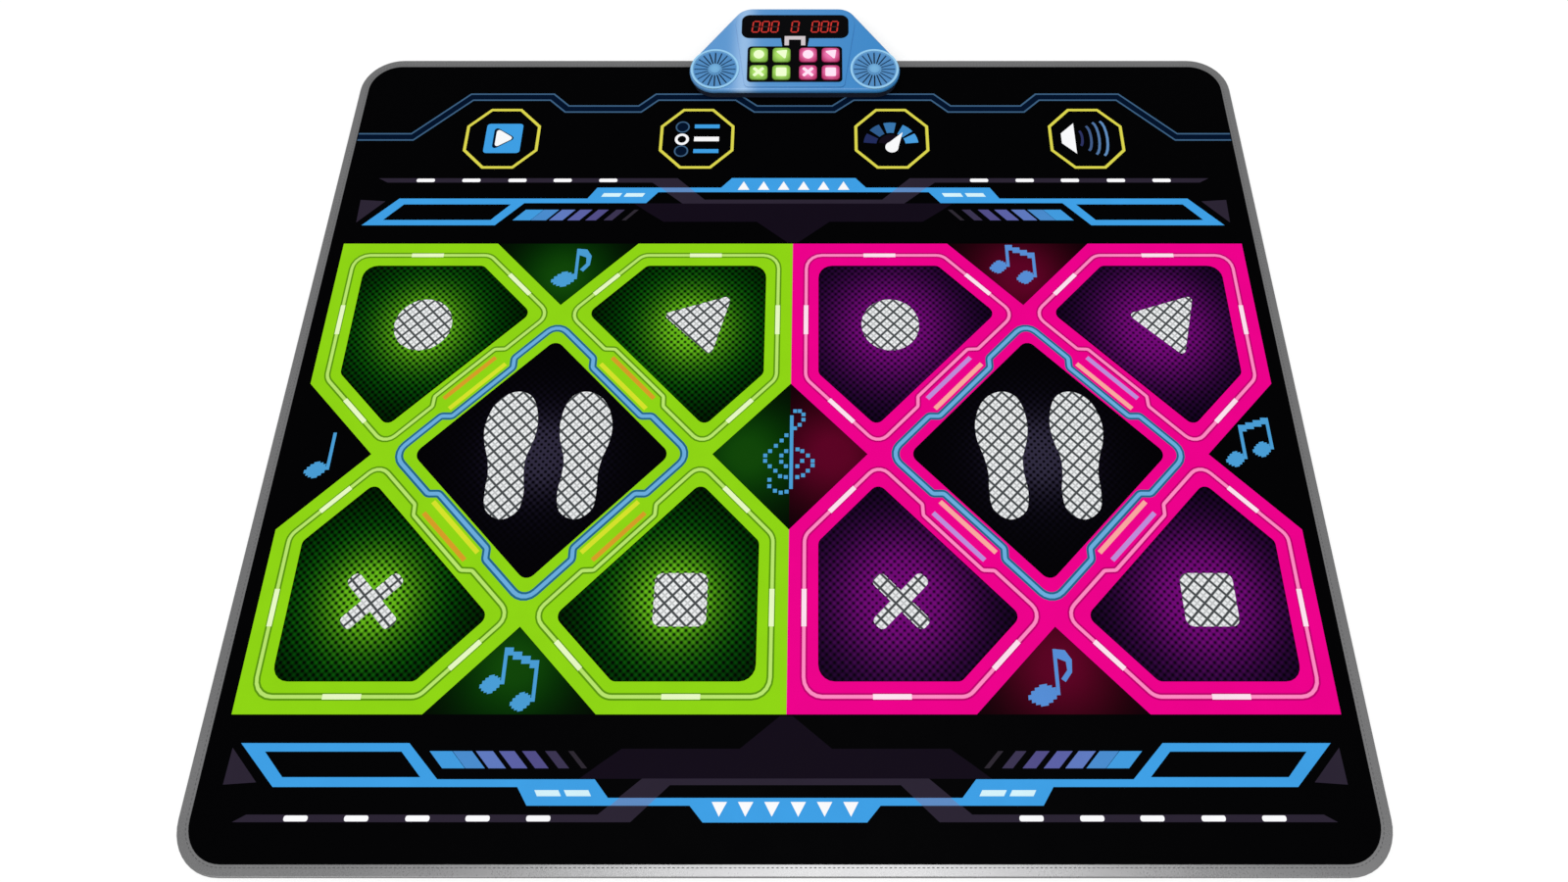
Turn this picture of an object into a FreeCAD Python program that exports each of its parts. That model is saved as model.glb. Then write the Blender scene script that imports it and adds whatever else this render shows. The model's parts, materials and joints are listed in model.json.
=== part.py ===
"""Two-player dance mat with a control console clamped on its rear edge.

Frame: +Z up, +X to the players' right, +Y away from the players, millimetres.
The origin lies on the floor under the centre of the whole object's outline.
"""
import FreeCAD, Part
import Sketcher
import math
import os
import re

# Driving sizes: one spreadsheet cell each, in millimetres (the tilt in degrees).
SIZES = {
    # soft mat, from the floor up
    "side_margin": 26.0,
    "front_margin": 138.5,
    "header_depth": 277.5,
    "mat_corner": 48.0,
    "base_thick": 0.8,
    "core_thick": 2.9,
    "film_thick": 0.3,
    "spacer_thick": 2.0,
    "cover_thick": 1.7,
    "carbon_thick": 0.2,
    "binding_width": 11.0,
    "binding_wall": 0.8,
    "binding_rise": 0.4,
    "binding_round": 1.8,
    "layer_play": 0.1,
    # player blocks and their step pads
    "block_side": 524.0,
    "notch_depth": 82.0,
    "band_width": 30.0,
    "diamond_reach": 142.7,
    "pad_corner": 16.0,
    "pad_corner_small": 9.0,
    "pad_play": 0.3,
    "contact_inset": 12.0,
    # function zones along the rear of the mat
    "zone_flats": 94.0,
    "zone_pitch": 240.0,
    "zone_inset": 124.5,
    "zone_corner": 1.5,
    # console outline: two round pods and two round crown corners, seen along the face
    "console_lap": 63.0,
    "over_cells": 5.0,
    "face_tilt": 3.0,
    "pod_x": 100.0,
    "pod_v": 32.0,
    "pod_radius": 32.0,
    "crown_x": 55.0,
    "bay_front": 5.5,
    "crown_radius": 25.0,
    "rim_depth": 5.0,
    "rim_round": 3.5,
    "shell_wall": 2.0,
    "face_thick": 2.2,
    "plateau_rise": 1.6,
    "plateau_round": 1.0,
    "housing_inset": 2.7,
    "housing_side": 1.6,
    "housing_wall": 2.0,
    "housing_lap": 3.5,
    "ground_gap": 1.5,
    "case_play": 0.15,
    # raised middle of the face
    "plateau_low_x": 57.0,
    "plateau_low_v": 10.0,
    "plateau_low_radius": 6.0,
    "plateau_top_x": 56.0,
    "plateau_inset": 3.0,
    "plateau_top_radius": 20.0,
    # display window, its tab and what lies behind
    "window_width": 136.0,
    "window_deep": 37.0,
    "window_inset": 6.5,
    "window_corner": 10.0,
    "window_sink": 0.4,
    "tab_top_width": 36.0,
    "tab_low_width": 32.0,
    "tab_corner": 0.5,
    "flange": 1.5,
    "flange_thick": 1.0,
    "score_width": 37.0,
    "score_x": 37.8,
    "level_width": 13.0,
    "module_deep": 23.0,
    "light_width": 26.4,
    "light_deep": 14.5,
    "light_bar": 5.5,
    "light_gap": 2.0,
    # keys
    "bezel_v": 38.5,
    "bezel_side": 3.15,
    "bezel_end": 3.25,
    "bezel_corner": 5.0,
    "bezel_sink": 0.2,
    "key_width": 22.5,
    "key_deep": 21.5,
    "key_corner": 4.5,
    "key_round": 1.2,
    "key_play": 0.3,
    "key_proud": 2.0,
    "key_travel": 1.0,
    "key_gap_x": 5.9,
    "key_gap_v": 5.5,
    "key_middle_gap": 10.9,
    # board
    "board_depth": 7.0,
    "board_thick": 1.2,
    "board_half": 59.0,
    "board_low_v": 5.0,
    "board_inset": 19.8,
    "switch_radius": 3.4,
    "switch_thick": 0.8,
    "stud_radius": 2.2,
    "stud_x": 40.0,
    "stud_low_v": 6.8,
    "stud_inset": 17.7,
    # speakers
    "grille_radius": 30.3,
    "grille_ring": 2.8,
    "grille_proud": 1.0,
    "slot_width": 1.7,
    "slot_inner": 8.5,
    "slot_outer": 26.0,
    "cap_radius": 7.0,
    "speaker_radius": 27.0,
    "speaker_gap": 0.3,
    "speaker_rim": 1.5,
    "basket_deep": 3.5,
    "basket_floor": 0.8,
    "basket_slope": 11.0,
    "cone_deep": 2.5,
    "cone_wall": 0.5,
    "dust_cap_radius": 8.0,
    "dust_cap_deep": 1.2,
    "magnet_radius": 13.0,
    "magnet_thick": 3.5,
    # fasteners
    "screw_radius": 1.2,
    "screw_play": 0.05,
    "screw_head": 2.9,
    "head_play": 0.3,
    "screw_bite": 5.0,
    "boss_radius": 3.0,
    "clamp_x": 65.5,
    "clamp_low_v": 14.0,
    "clamp_top_v": 43.0,
    "case_screw_x": 74.5,
    "case_screw_inset": 7.0,
    "board_screw_radius": 0.95,
    "board_screw_head": 2.0,
    "plate_width": 144.0,
    "plate_deep": 43.0,
    "plate_thick": 2.0,
    # ribbon tail of the contact films
    "tail_width": 24.0,
    "tail_thick": 0.4,
    "tail_v": 33.0,
    "tail_foot": 10.0,
    # battery bay in the rear of the housing
    "cell_radius": 7.1,
    "cell_length": 49.0,
    "cell_gap": 0.8,
    "bay_play": 1.4,
    "bay_rear": 11.5,
    "cell_rest": 3.8,
    "nub_radius": 2.7,
    "nub_length": 1.4,
    "spring_radius": 3.2,
    "contact_plate": 0.4,
    "contact_side": 10.0,
    "bay_half": 31.0,
    "bay_wall": 1.5,
    "door_thick": 0.9,
    "door_lip": 2.5,
    "door_tab": 5.0,
    "door_screw_inset": 16.0,
    # power switch in the rear wall, and feet
    "switch_x": 20.0,
    "switch_height": 11.0,
    "slider_width": 4.0,
    "slider_tall": 2.4,
    "slider_travel": 4.0,
    "slider_proud": 1.5,
    "foot_radius": 5.0,
}

SPEAKER_SLOTS = 20
SYMBOLS = {"circle": (-1, 1), "triangle": (1, 1), "cross": (-1, -1), "square": (1, -1)}
SIDES = {"green": -1, "pink": 1}
ZONES = {"play": -1.5, "menu": -0.5, "speed": 0.5, "volume": 1.5}

doc = FreeCAD.newDocument("DanceMat")
sheet = doc.addObject("Spreadsheet::Sheet", "Sizes")
for row, (alias, value) in enumerate(SIZES.items(), start=1):
    sheet.set(f"A{row}", alias.replace("_", " "))
    sheet.set(f"B{row}", str(value))
    sheet.setAlias(f"B{row}", alias)
doc.recompute()


# Places and sizes that follow from the driving ones.
DERIVED = {
    "mat_width": "2 * ( block_side + side_margin )",
    "mat_depth": "front_margin + block_side + header_depth",
    "block_back": "front_margin + block_side / 2 - mat_depth / 2",
    "zone_back": "mat_depth / 2 - zone_inset",
    "console_back": "mat_depth / 2 - console_lap",
    "cell_pitch": "2 * cell_radius + cell_gap",
    "bay_deep": "2 * ( cell_pitch + cell_radius + bay_play )",
    "crown_v": "console_lap + bay_front + bay_deep - bay_rear",
    "mat_thick": "base_thick + core_thick + 2 * film_thick + spacer_thick + cover_thick",
    "face_height": "cell_rest + 2 * cell_radius + over_cells - mat_thick",
    "plateau_top_v": "crown_v - plateau_inset",
    "window_v": "crown_v - window_inset",
    "board_top_v": "crown_v + board_inset",
    "stud_top_v": "crown_v + stud_inset",
    "key_inner_x": "( key_middle_gap + key_width ) / 2",
    "key_outer_x": "key_inner_x + key_width + key_gap_x",
    "key_low_v": "bezel_v - ( key_deep + key_gap_v ) / 2",
    "key_top_v": "bezel_v + ( key_deep + key_gap_v ) / 2",
    "bezel_width": "2 * key_outer_x + key_width + 2 * bezel_side",
    "bezel_deep": "2 * key_deep + key_gap_v + 2 * bezel_end",
    "light_v": "bezel_v + bezel_deep / 2 + light_gap",
    "clamp_low_back": "console_back + clamp_low_v",
    "clamp_top_back": "console_back + clamp_top_v",
    "tail_back": "console_back + tail_v",
    "case_screw_back": "console_back + crown_v - case_screw_inset",
    "cell_back": "console_back + crown_v + bay_rear - bay_deep / 2",
    "door_screw_back": "console_back + crown_v + door_screw_inset",
}


def size(text):
    """Points each word of the text at its cell, or at what it follows from, as an expression."""
    def spell(word):
        name = word[0]
        if name in DERIVED:
            return f"( {size(DERIVED[name])} )"
        return f"Sizes.{name}" if name in SIZES else name

    return re.sub(r"(?<![\w.])[a-z_]+", spell, text)


def number(expression):
    """Reads an expression's present value."""
    return float(sheet.evalExpression(expression))


# Heights of the mat's layers and of the console's face, as expressions.
Z_CORE = size("base_thick")
Z_FILM = size("( base_thick + core_thick )")
Z_SPACER = size("( base_thick + core_thick + film_thick )")
Z_UPPER = size("( base_thick + core_thick + film_thick + spacer_thick )")
Z_COVER = size("( base_thick + core_thick + 2 * film_thick + spacer_thick )")
MAT_TOP = size("( mat_thick )")
MAT_REAR = size("( mat_depth / 2 )")
FACE_Z = size("( mat_thick + face_height )")
SINE = "sin( Sizes.face_tilt )"
COSINE = "cos( Sizes.face_tilt )"
HOUSING_FLOOR = f"( {MAT_TOP} + Sizes.housing_wall )"
BAY_FLOOR = size("( ground_gap + housing_wall )")
CELL_LEVEL = size("( cell_rest + cell_radius )")
REAR_WALL = size("( console_back + crown_v + crown_radius - housing_inset )")
CONSOLE_BACK = size("console_back")
# The whole outline runs from the mat's front edge to the shell's rear rim; the origin is at its middle.
CROWN_REACH = f"{size('( crown_v + crown_radius )')} * {COSINE}"
SHELL_REAR = f"( {CONSOLE_BACK} + {CROWN_REACH} + Sizes.rim_depth * {SINE} )"
SHIFT = f"( {MAT_REAR} - {SHELL_REAR} ) / 2"


# ---------------------------------------------------------------- building blocks
def place(piece, spot, tilted=False, rotation=None):
    """Binds a piece's position, and for the tilted face its angle, to the sheet."""
    if tilted:
        rotation = FreeCAD.Rotation(FreeCAD.Vector(1, 0, 0), number("Sizes.face_tilt"))
    piece.Placement = FreeCAD.Placement(FreeCAD.Vector(), rotation or FreeCAD.Rotation())
    spot = (spot[0], f"( {spot[1]} ) + {SHIFT}", spot[2])
    for axis, expression in zip("xyz", spot):
        piece.setExpression(f"Placement.Base.{axis}", expression)
    if tilted:
        piece.setExpression("Placement.Rotation.Angle", "Sizes.face_tilt")
    return piece


def on_face(across, along, rise):
    """Gives the place of a point of the tilted face: across, up its slope, and out of it."""
    back = f"{CONSOLE_BACK} + ( {along} ) * {COSINE} - ( {rise} ) * {SINE}"
    height = f"{FACE_Z} + ( {along} ) * {SINE} + ( {rise} ) * {COSINE}"
    return across, back, height


def face_level(back, rise):
    """Gives the height of the tilted layer at that rise, above a point of the ground plan."""
    slope = f"( ( {back} ) - {CONSOLE_BACK} ) * {SINE} / {COSINE}"
    return f"( {FACE_Z} + {slope} + ( {rise} ) / {COSINE} )"


def tangent_turn(one, other):
    """Gives the angle of the outer normal shared by two circles, the second one next anticlockwise."""
    heading = math.atan2(other[1] - one[1], other[0] - one[0])
    distance = math.hypot(other[0] - one[0], other[1] - one[1])
    return heading - math.acos((one[2] - other[2]) / distance)


def draw_belt(sketch, circles, grow="0"):
    """Draws a belt round the circles, given as (across, along, radius) expressions."""
    spots = [(number(x), number(y), number(f"( {r} ) + ( {grow} )")) for x, y, r in circles]
    middle_x = sum(spot[0] for spot in spots) / len(spots)
    middle_y = sum(spot[1] for spot in spots) / len(spots)
    bearings = [math.atan2(spot[1] - middle_y, spot[0] - middle_x) for spot in spots]
    order = sorted(range(len(spots)), key=lambda i: bearings[i])
    count = len(order)
    turns = [tangent_turn(spots[order[k]], spots[order[(k + 1) % count]]) for k in range(count)]
    ends = []
    shapes = []
    for k, index in enumerate(order):
        x, y, radius = spots[index]
        start = turns[k - 1]
        stop = start + (turns[k] - start) % (2 * math.pi)
        circle = Part.Circle(FreeCAD.Vector(x, y, 0), FreeCAD.Vector(0, 0, 1), radius)
        shapes.append(Part.ArcOfCircle(circle, start, stop))
        ends.append((shapes[-1].StartPoint, shapes[-1].EndPoint))
    for k in range(count):
        shapes.append(Part.LineSegment(ends[k][1], ends[(k + 1) % count][0]))
    first = sketch.GeometryCount
    sketch.addGeometry(shapes, False)
    ties = []
    for k in range(count):
        line = first + count + k
        ties.append(Sketcher.Constraint("Tangent", first + k, 2, line, 1))
        ties.append(Sketcher.Constraint("Tangent", line, 2, first + (k + 1) % count, 1))
    sketch.addConstraint(ties)
    for k, index in enumerate(order):
        across, along, radius = circles[index]
        bind(sketch, Sketcher.Constraint("DistanceX", first + k, 3, spots[index][0]), across)
        bind(sketch, Sketcher.Constraint("DistanceY", first + k, 3, spots[index][1]), along)
        bind(sketch, Sketcher.Constraint("Radius", first + k, spots[index][2]), f"( {radius} ) + ( {grow} )")


def draw_circle(sketch, across, along, radius):
    """Draws one full circle bound to the sheet."""
    centre = FreeCAD.Vector(number(across), number(along), 0)
    circle = Part.Circle(centre, FreeCAD.Vector(0, 0, 1), number(radius))
    index = sketch.addGeometry(circle, False)
    bind(sketch, Sketcher.Constraint("DistanceX", index, 3, centre.x), across)
    bind(sketch, Sketcher.Constraint("DistanceY", index, 3, centre.y), along)
    bind(sketch, Sketcher.Constraint("Radius", index, circle.Radius), radius)


def bind(sketch, constraint, expression):
    """Adds a constraint and ties its value to the sheet."""
    index = sketch.addConstraint(constraint)
    sketch.setExpression(f"Constraints[{index}]", expression)


def origin_feature(body, role):
    """Finds one of a body's own origin planes or axes."""
    return next(feature for feature in body.Origin.OriginFeatures if feature.Role == role)


def new_sketch(body, name):
    """Starts a sketch on a body's own XY plane."""
    sketch = body.newObject("Sketcher::SketchObject", name)
    sketch.AttachmentSupport = [(origin_feature(body, "XY_Plane"), "")]
    sketch.MapMode = "FlatFace"
    return sketch


def prism(name, circles, height, spot, grow="0", tilted=False):
    """Makes a body by padding the belt round the circles."""
    body = doc.addObject("PartDesign::Body", name)
    sketch = new_sketch(body, f"{name}_outline")
    draw_belt(sketch, circles, grow)
    pad = body.newObject("PartDesign::Pad", f"{name}_pad")
    pad.Profile = sketch
    pad.setExpression("Length", height)
    return place(body, spot, tilted)


def round_top(body, height, radius):
    """Rounds the edges of a body's top face."""
    doc.recompute()
    base = body.Tip
    level = number(height)
    edges = []
    for index, edge in enumerate(base.Shape.Edges, start=1):
        if abs(edge.BoundBox.ZMin - level) < 1e-6 and abs(edge.BoundBox.ZMax - level) < 1e-6:
            edges.append(f"Edge{index}")
    fillet = body.newObject("PartDesign::Fillet", f"{body.Name}_round")
    fillet.Base = (base, edges)
    fillet.setExpression("Radius", radius)
    return body


def cylinder(name, radius, height, spot, tilted=False, rotation=None):
    """Makes a cylinder from its foot at the given place."""
    piece = doc.addObject("Part::Cylinder", name)
    piece.setExpression("Radius", radius)
    piece.setExpression("Height", height)
    return place(piece, spot, tilted, rotation)


def cone(name, low, top, height, spot, tilted=False):
    """Makes a cone from its low radius to its top radius."""
    piece = doc.addObject("Part::Cone", name)
    piece.setExpression("Radius1", low)
    piece.setExpression("Radius2", top)
    piece.setExpression("Height", height)
    return place(piece, spot, tilted)


def box(name, spans, tilted=False):
    """Makes a box from (low, high) expressions on each axis, or on the face's own axes."""
    piece = doc.addObject("Part::Box", name)
    for side, (low, high) in zip(("Length", "Width", "Height"), spans):
        piece.setExpression(side, f"( {high} ) - ( {low} )")
    lows = [low for low, high in spans]
    return place(piece, on_face(*lows) if tilted else lows, tilted)


def fuse(name, pieces):
    """Joins overlapping or touching solids."""
    joined = doc.addObject("Part::MultiFuse", name)
    joined.Shapes = pieces
    return joined


def group(name, pieces):
    """Keeps separate solids together as one node."""
    together = doc.addObject("Part::Compound", name)
    together.Links = pieces
    return together


def cut(name, base, tools):
    """Takes the tools out of the base."""
    result = doc.addObject("Part::Cut", name)
    result.Base = base
    result.Tool = tools[0] if len(tools) == 1 else fuse(f"{name}_tools", tools)
    return result


nodes = []


def node(label, piece):
    """Names a finished sub-part; the label names its file."""
    piece.Label = label
    nodes.append(piece)
    return piece


def corners(half_x, low, high, radius):
    """Gives the four corner circles of a rounded rectangle, symmetric across the middle line."""
    reach = f"( {half_x} ) - ( {radius} )"
    return [
        (f"{sign} * ( {reach} )", f"( {edge} ) - {turn} * ( {radius} )", radius)
        for sign in (-1, 1)
        for edge, turn in ((low, -1), (high, 1))
    ]


# ---------------------------------------------------------------- outlines
MAT_OUTLINE = corners(size("mat_width / 2"), f"- {MAT_REAR}", MAT_REAR, size("mat_corner"))
CONSOLE_OUTLINE = [
    (f"{sign} * Sizes.{ring}_x", size(f"{ring}_v"), size(f"{ring}_radius"))
    for sign in (-1, 1)
    for ring in ("pod", "crown")
]
PLATEAU_OUTLINE = [
    (f"{sign} * Sizes.plateau_{end}_x", size(f"plateau_{end}_v"), f"Sizes.plateau_{end}_radius")
    for sign in (-1, 1)
    for end in ("low", "top")
]
WINDOW_LOW = size("( window_v - window_deep / 2 )")
WINDOW_TOP = size("( window_v + window_deep / 2 )")
BEZEL_LOW = size("( bezel_v - bezel_deep / 2 )")
BEZEL_TOP = size("( bezel_v + bezel_deep / 2 )")
WINDOW_OUTLINE = corners(size("window_width / 2"), WINDOW_LOW, WINDOW_TOP, size("window_corner"))
BEZEL_OUTLINE = corners(size("bezel_width / 2"), BEZEL_LOW, BEZEL_TOP, size("bezel_corner"))
TAB_CORNER = size("tab_corner")
TAB_OUTLINE = [
    (f"{sign} * ( Sizes.{width} / 2 - {TAB_CORNER} )", along, TAB_CORNER)
    for sign in (-1, 1)
    for width, along in (
        ("tab_low_width", f"{BEZEL_TOP} + {TAB_CORNER}"),
        ("tab_top_width", f"{WINDOW_LOW} + 2 * {TAB_CORNER}"),
    )
]

# One step pad, in its block's first quadrant: two outer sides, two notch sides and the diamond side.
PAD_OUTER = size("( block_side / 2 - band_width )")
PAD_NOTCH = size("( block_side / 2 - notch_depth - band_width * sqrt(2) )")
PAD_INNER = size("( diamond_reach * sqrt(2) )")
BLOCK_BACK = size("block_back")
ZONE_BACK = size("zone_back")


def pad_outline(side, across, along):
    """Gives the corner circles of one step pad."""
    big = size("pad_corner")
    small = size("pad_corner_small")
    shoulder = f"( {PAD_OUTER} - {PAD_NOTCH} + {small} * ( sqrt(2) - 1 ) )"
    edge = f"( {PAD_OUTER} - {small} )"
    near = f"( ( {PAD_INNER} - {PAD_NOTCH} ) / 2 + {small} * sqrt(2) )"
    far = f"( ( {PAD_INNER} + {PAD_NOTCH} ) / 2 )"
    local = [
        (f"( {PAD_OUTER} - {big} )", f"( {PAD_OUTER} - {big} )", big),
        (shoulder, edge, small),
        (near, far, small),
        (far, near, small),
        (edge, shoulder, small),
    ]
    return [
        (f"{side} * Sizes.block_side / 2 + {across} * {x}", f"{BLOCK_BACK} + {along} * {y}", radius)
        for x, y, radius in local
    ]


def zone_outline(steps):
    """Gives the corner circles of one eight-sided function zone."""
    flat = size("( zone_flats / 2 - zone_corner )")
    half = f"( {flat} * tan(22.5) )"
    return [
        (f"{steps} * Sizes.zone_pitch + {a} * {x}", f"{ZONE_BACK} + {b} * {y}", size("zone_corner"))
        for a in (-1, 1)
        for b in (-1, 1)
        for x, y in ((flat, half), (half, flat))
    ]


# ---------------------------------------------------------------- soft mat
def build_mat():
    """Builds the layers of the soft mat, with the windows its pads move in."""
    window_height = f"{MAT_TOP} - {Z_SPACER} + 1"
    windows = []
    for colour, side in SIDES.items():
        for symbol, (across, along) in SYMBOLS.items():
            outline = pad_outline(side, across, along)
            name = f"{colour}_{symbol}_window"
            windows.append(prism(name, outline, window_height, ("0", "0", Z_SPACER), size("pad_play")))
    for zone, steps in ZONES.items():
        outline = zone_outline(steps)
        windows.append(
            prism(f"{zone}_window", outline, window_height, ("0", "0", Z_SPACER), size("pad_play"))
        )
    openings = fuse("pad_windows", windows)

    clamp_holes = clamp_cylinders("clamp_hole", size("screw_radius + 4 * screw_play"), "0", MAT_TOP + " + 1")
    head_holes = clamp_cylinders("head_hole", size("screw_head + pad_play"), "0", Z_CORE)
    tail_slot = box("tail_slot", (
        (size("- tail_width / 2 - pad_play"), size("tail_width / 2 + pad_play")),
        (size("tail_back - tail_thick / 2 - pad_play"), size("tail_back + tail_thick / 2 + pad_play")),
        (Z_SPACER, f"{MAT_TOP} + 1"),
    ))
    tail_pocket = box("tail_pocket", (
        (size("- tail_width / 2 - pad_play"), size("tail_width / 2 + pad_play")),
        (size("tail_back - tail_foot - pad_play"), size("tail_back + tail_thick / 2 + pad_play")),
        (Z_SPACER, Z_UPPER),
    ))
    plate_low = size("( clamp_low_back + clamp_top_back ) / 2 - plate_deep / 2")
    plate_top = size("( clamp_low_back + clamp_top_back ) / 2 + plate_deep / 2")
    plate_outline = corners(size("plate_width / 2"), plate_low, plate_top, size("bezel_corner"))
    plate_pocket = prism(
        "plate_pocket", plate_outline, size("plate_thick + layer_play"), ("0", "0", Z_CORE), size("pad_play")
    )

    inside = size("- binding_wall - layer_play")
    trimmed = size("- binding_width - layer_play")
    base = prism("base_blank", MAT_OUTLINE, size("base_thick"), ("0", "0", "0"), trimmed)
    node("base_sheet", cut("base_cut", base, head_holes))
    core = prism("core_blank", MAT_OUTLINE, size("core_thick"), ("0", "0", Z_CORE), inside)
    node("foam_core", cut("core_cut", core, [plate_pocket] + clamp_holes))
    lower = prism("lower_blank", MAT_OUTLINE, size("film_thick"), ("0", "0", Z_FILM), inside)
    node("lower_contact_sheet", cut("lower_cut", lower, clamp_holes))
    spacer = prism("spacer_blank", MAT_OUTLINE, size("spacer_thick"), ("0", "0", Z_SPACER), inside)
    node("spacer_foam", cut("spacer_cut", spacer, [openings, tail_pocket] + clamp_holes))
    upper = prism("upper_blank", MAT_OUTLINE, size("film_thick"), ("0", "0", Z_UPPER), inside)
    node("upper_contact_sheet", cut("upper_cut", upper, [openings, tail_slot] + clamp_holes))
    cover = prism("cover_blank", MAT_OUTLINE, size("cover_thick"), ("0", "0", Z_COVER), trimmed)
    node("top_cover", cut("cover_cut", cover, [openings, tail_slot] + clamp_holes))

    tape = prism("tape_blank", MAT_OUTLINE, f"{MAT_TOP} + Sizes.binding_rise", ("0", "0", "0"))
    round_top(tape, f"{MAT_TOP} + Sizes.binding_rise", size("binding_round"))
    past_top = f"{MAT_TOP} + 2 * Sizes.binding_rise"
    through = prism("tape_through", MAT_OUTLINE, past_top, ("0", "0", "0"), size("- binding_width"))
    lining = f"{Z_COVER} - {Z_CORE}"
    channel = prism("tape_channel", MAT_OUTLINE, lining, ("0", "0", Z_CORE), size("- binding_wall"))
    node("edge_binding", cut("tape_cut", tape, [through, channel]))

    plate = prism("plate_blank", plate_outline, size("plate_thick"), ("0", "0", Z_CORE))
    sinks = []
    for index, (x, back) in enumerate(clamp_spots()):
        wide = size("screw_head + screw_play")
        narrow = size("screw_radius + screw_play")
        sinks.append(cone(f"sink{index}", wide, narrow, size("plate_thick"), (x, back, Z_CORE)))
    node("backing_plate", cut("plate_cut", plate, sinks))
    node("clamp_screws", group("clamp_set", [
        screw(f"clamp{index}", x, back, Z_CORE, size("plate_thick"), f"{boss_foot()} + Sizes.screw_bite")
        for index, (x, back) in enumerate(clamp_spots())
    ]))
    build_tail()


def clamp_spots():
    """Lists where the four long screws clamp the mat under the console."""
    return [
        (f"{sign} * Sizes.clamp_x", size(back))
        for sign in (-1, 1)
        for back in ("clamp_low_back", "clamp_top_back")
    ]


def clamp_cylinders(name, radius, low, high):
    """Makes a round tool at each clamping screw."""
    return [
        cylinder(f"{name}{index}", radius, f"( {high} ) - ( {low} )", (x, back, low))
        for index, (x, back) in enumerate(clamp_spots())
    ]


def boss_foot():
    """Gives the height where the shell's bosses stand on the housing's posts."""
    return f"( {HOUSING_FLOOR} + Sizes.housing_wall * 2 )"


def screw(name, x, back, foot, head_deep, tip):
    """Makes a countersunk screw pointing up."""
    deep = f"( {head_deep} ) - Sizes.head_play"
    head = cone(f"{name}_head", size("screw_head"), size("screw_radius"), deep, (x, back, foot))
    shank = cylinder(f"{name}_shank", size("screw_radius"), f"( {tip} ) - ( {foot} )", (x, back, foot))
    return fuse(name, [head, shank])


def build_tail():
    """Builds the flat tail that leads from the contact films up to the board."""
    half = size("tail_width / 2")
    low = size("tail_back - tail_thick / 2")
    high = size("tail_back + tail_thick / 2")
    top = face_level(size("tail_back"), size("- board_depth - board_thick - pad_play"))
    foot = box("tail_flat", (
        (f"- {half}", half),
        (size("tail_back - tail_foot"), high),
        (Z_SPACER, f"{Z_SPACER} + Sizes.tail_thick"),
    ))
    riser = box("tail_riser", ((f"- {half}", half), (low, high), (Z_SPACER, top)))
    node("ribbon_tail", fuse("tail", [foot, riser]))


def build_pads():
    """Builds the pads that a player steps on, with their contact patches above and below."""
    carbon_foot = f"{Z_UPPER} - Sizes.carbon_thick"
    fixed = []
    for colour, side in SIDES.items():
        for symbol, (across, along) in SYMBOLS.items():
            name = f"{colour}_{symbol}"
            outline = pad_outline(side, across, along)
            node(f"{name}_pad", prism(f"{name}_patch", outline, size("cover_thick"), ("0", "0", Z_COVER)))
            film = prism(f"{name}_film", outline, size("film_thick"), ("0", "0", Z_UPPER))
            thin = size("carbon_thick")
            inset = size("- contact_inset / 2")
            carbon = prism(f"{name}_carbon", outline, thin, ("0", "0", carbon_foot), inset)
            node(f"{name}_contact", fuse(f"{name}_sensor", [film, carbon]))
            fixed.append(prism(f"{name}_fixed", outline, thin, ("0", "0", Z_SPACER), inset))
    for zone, steps in ZONES.items():
        outline = zone_outline(steps)
        patch = prism(f"{zone}_patch", outline, f"{MAT_TOP} - {Z_UPPER}", ("0", "0", Z_UPPER))
        across = f"{steps} * Sizes.zone_pitch"
        radius = size("zone_flats / 2 - contact_inset")
        thin = size("carbon_thick")
        carbon = cylinder(f"{zone}_carbon", radius, thin, (across, ZONE_BACK, carbon_foot))
        node(f"{zone}_zone", fuse(f"{zone}_button", [patch, carbon]))
        fixed.append(cylinder(f"{zone}_fixed", radius, thin, (across, ZONE_BACK, Z_SPACER)))
    node("lower_contacts", group("fixed_contacts", fixed))


# ---------------------------------------------------------------- console
FACE_UNDER = size("- face_thick")
BOARD_TOP = size("- board_depth")
BOARD_UNDER = size("( - board_depth - board_thick )")
PLATE_FOOT = size("( - face_thick - case_play )")
FLANGE_FOOT = size("( - face_thick - case_play - flange_thick )")


def face_prism(name, circles, low, high, grow="0"):
    """Makes a prism standing on the tilted face's own frame, between two rises."""
    return prism(name, circles, f"( {high} ) - ( {low} )", on_face("0", "0", low), grow, tilted=True)


def case_screw_spots():
    """Lists where the two rear screws close the console's case."""
    return [(f"{sign} * Sizes.case_screw_x", size("case_screw_back")) for sign in (-1, 1)]


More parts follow.
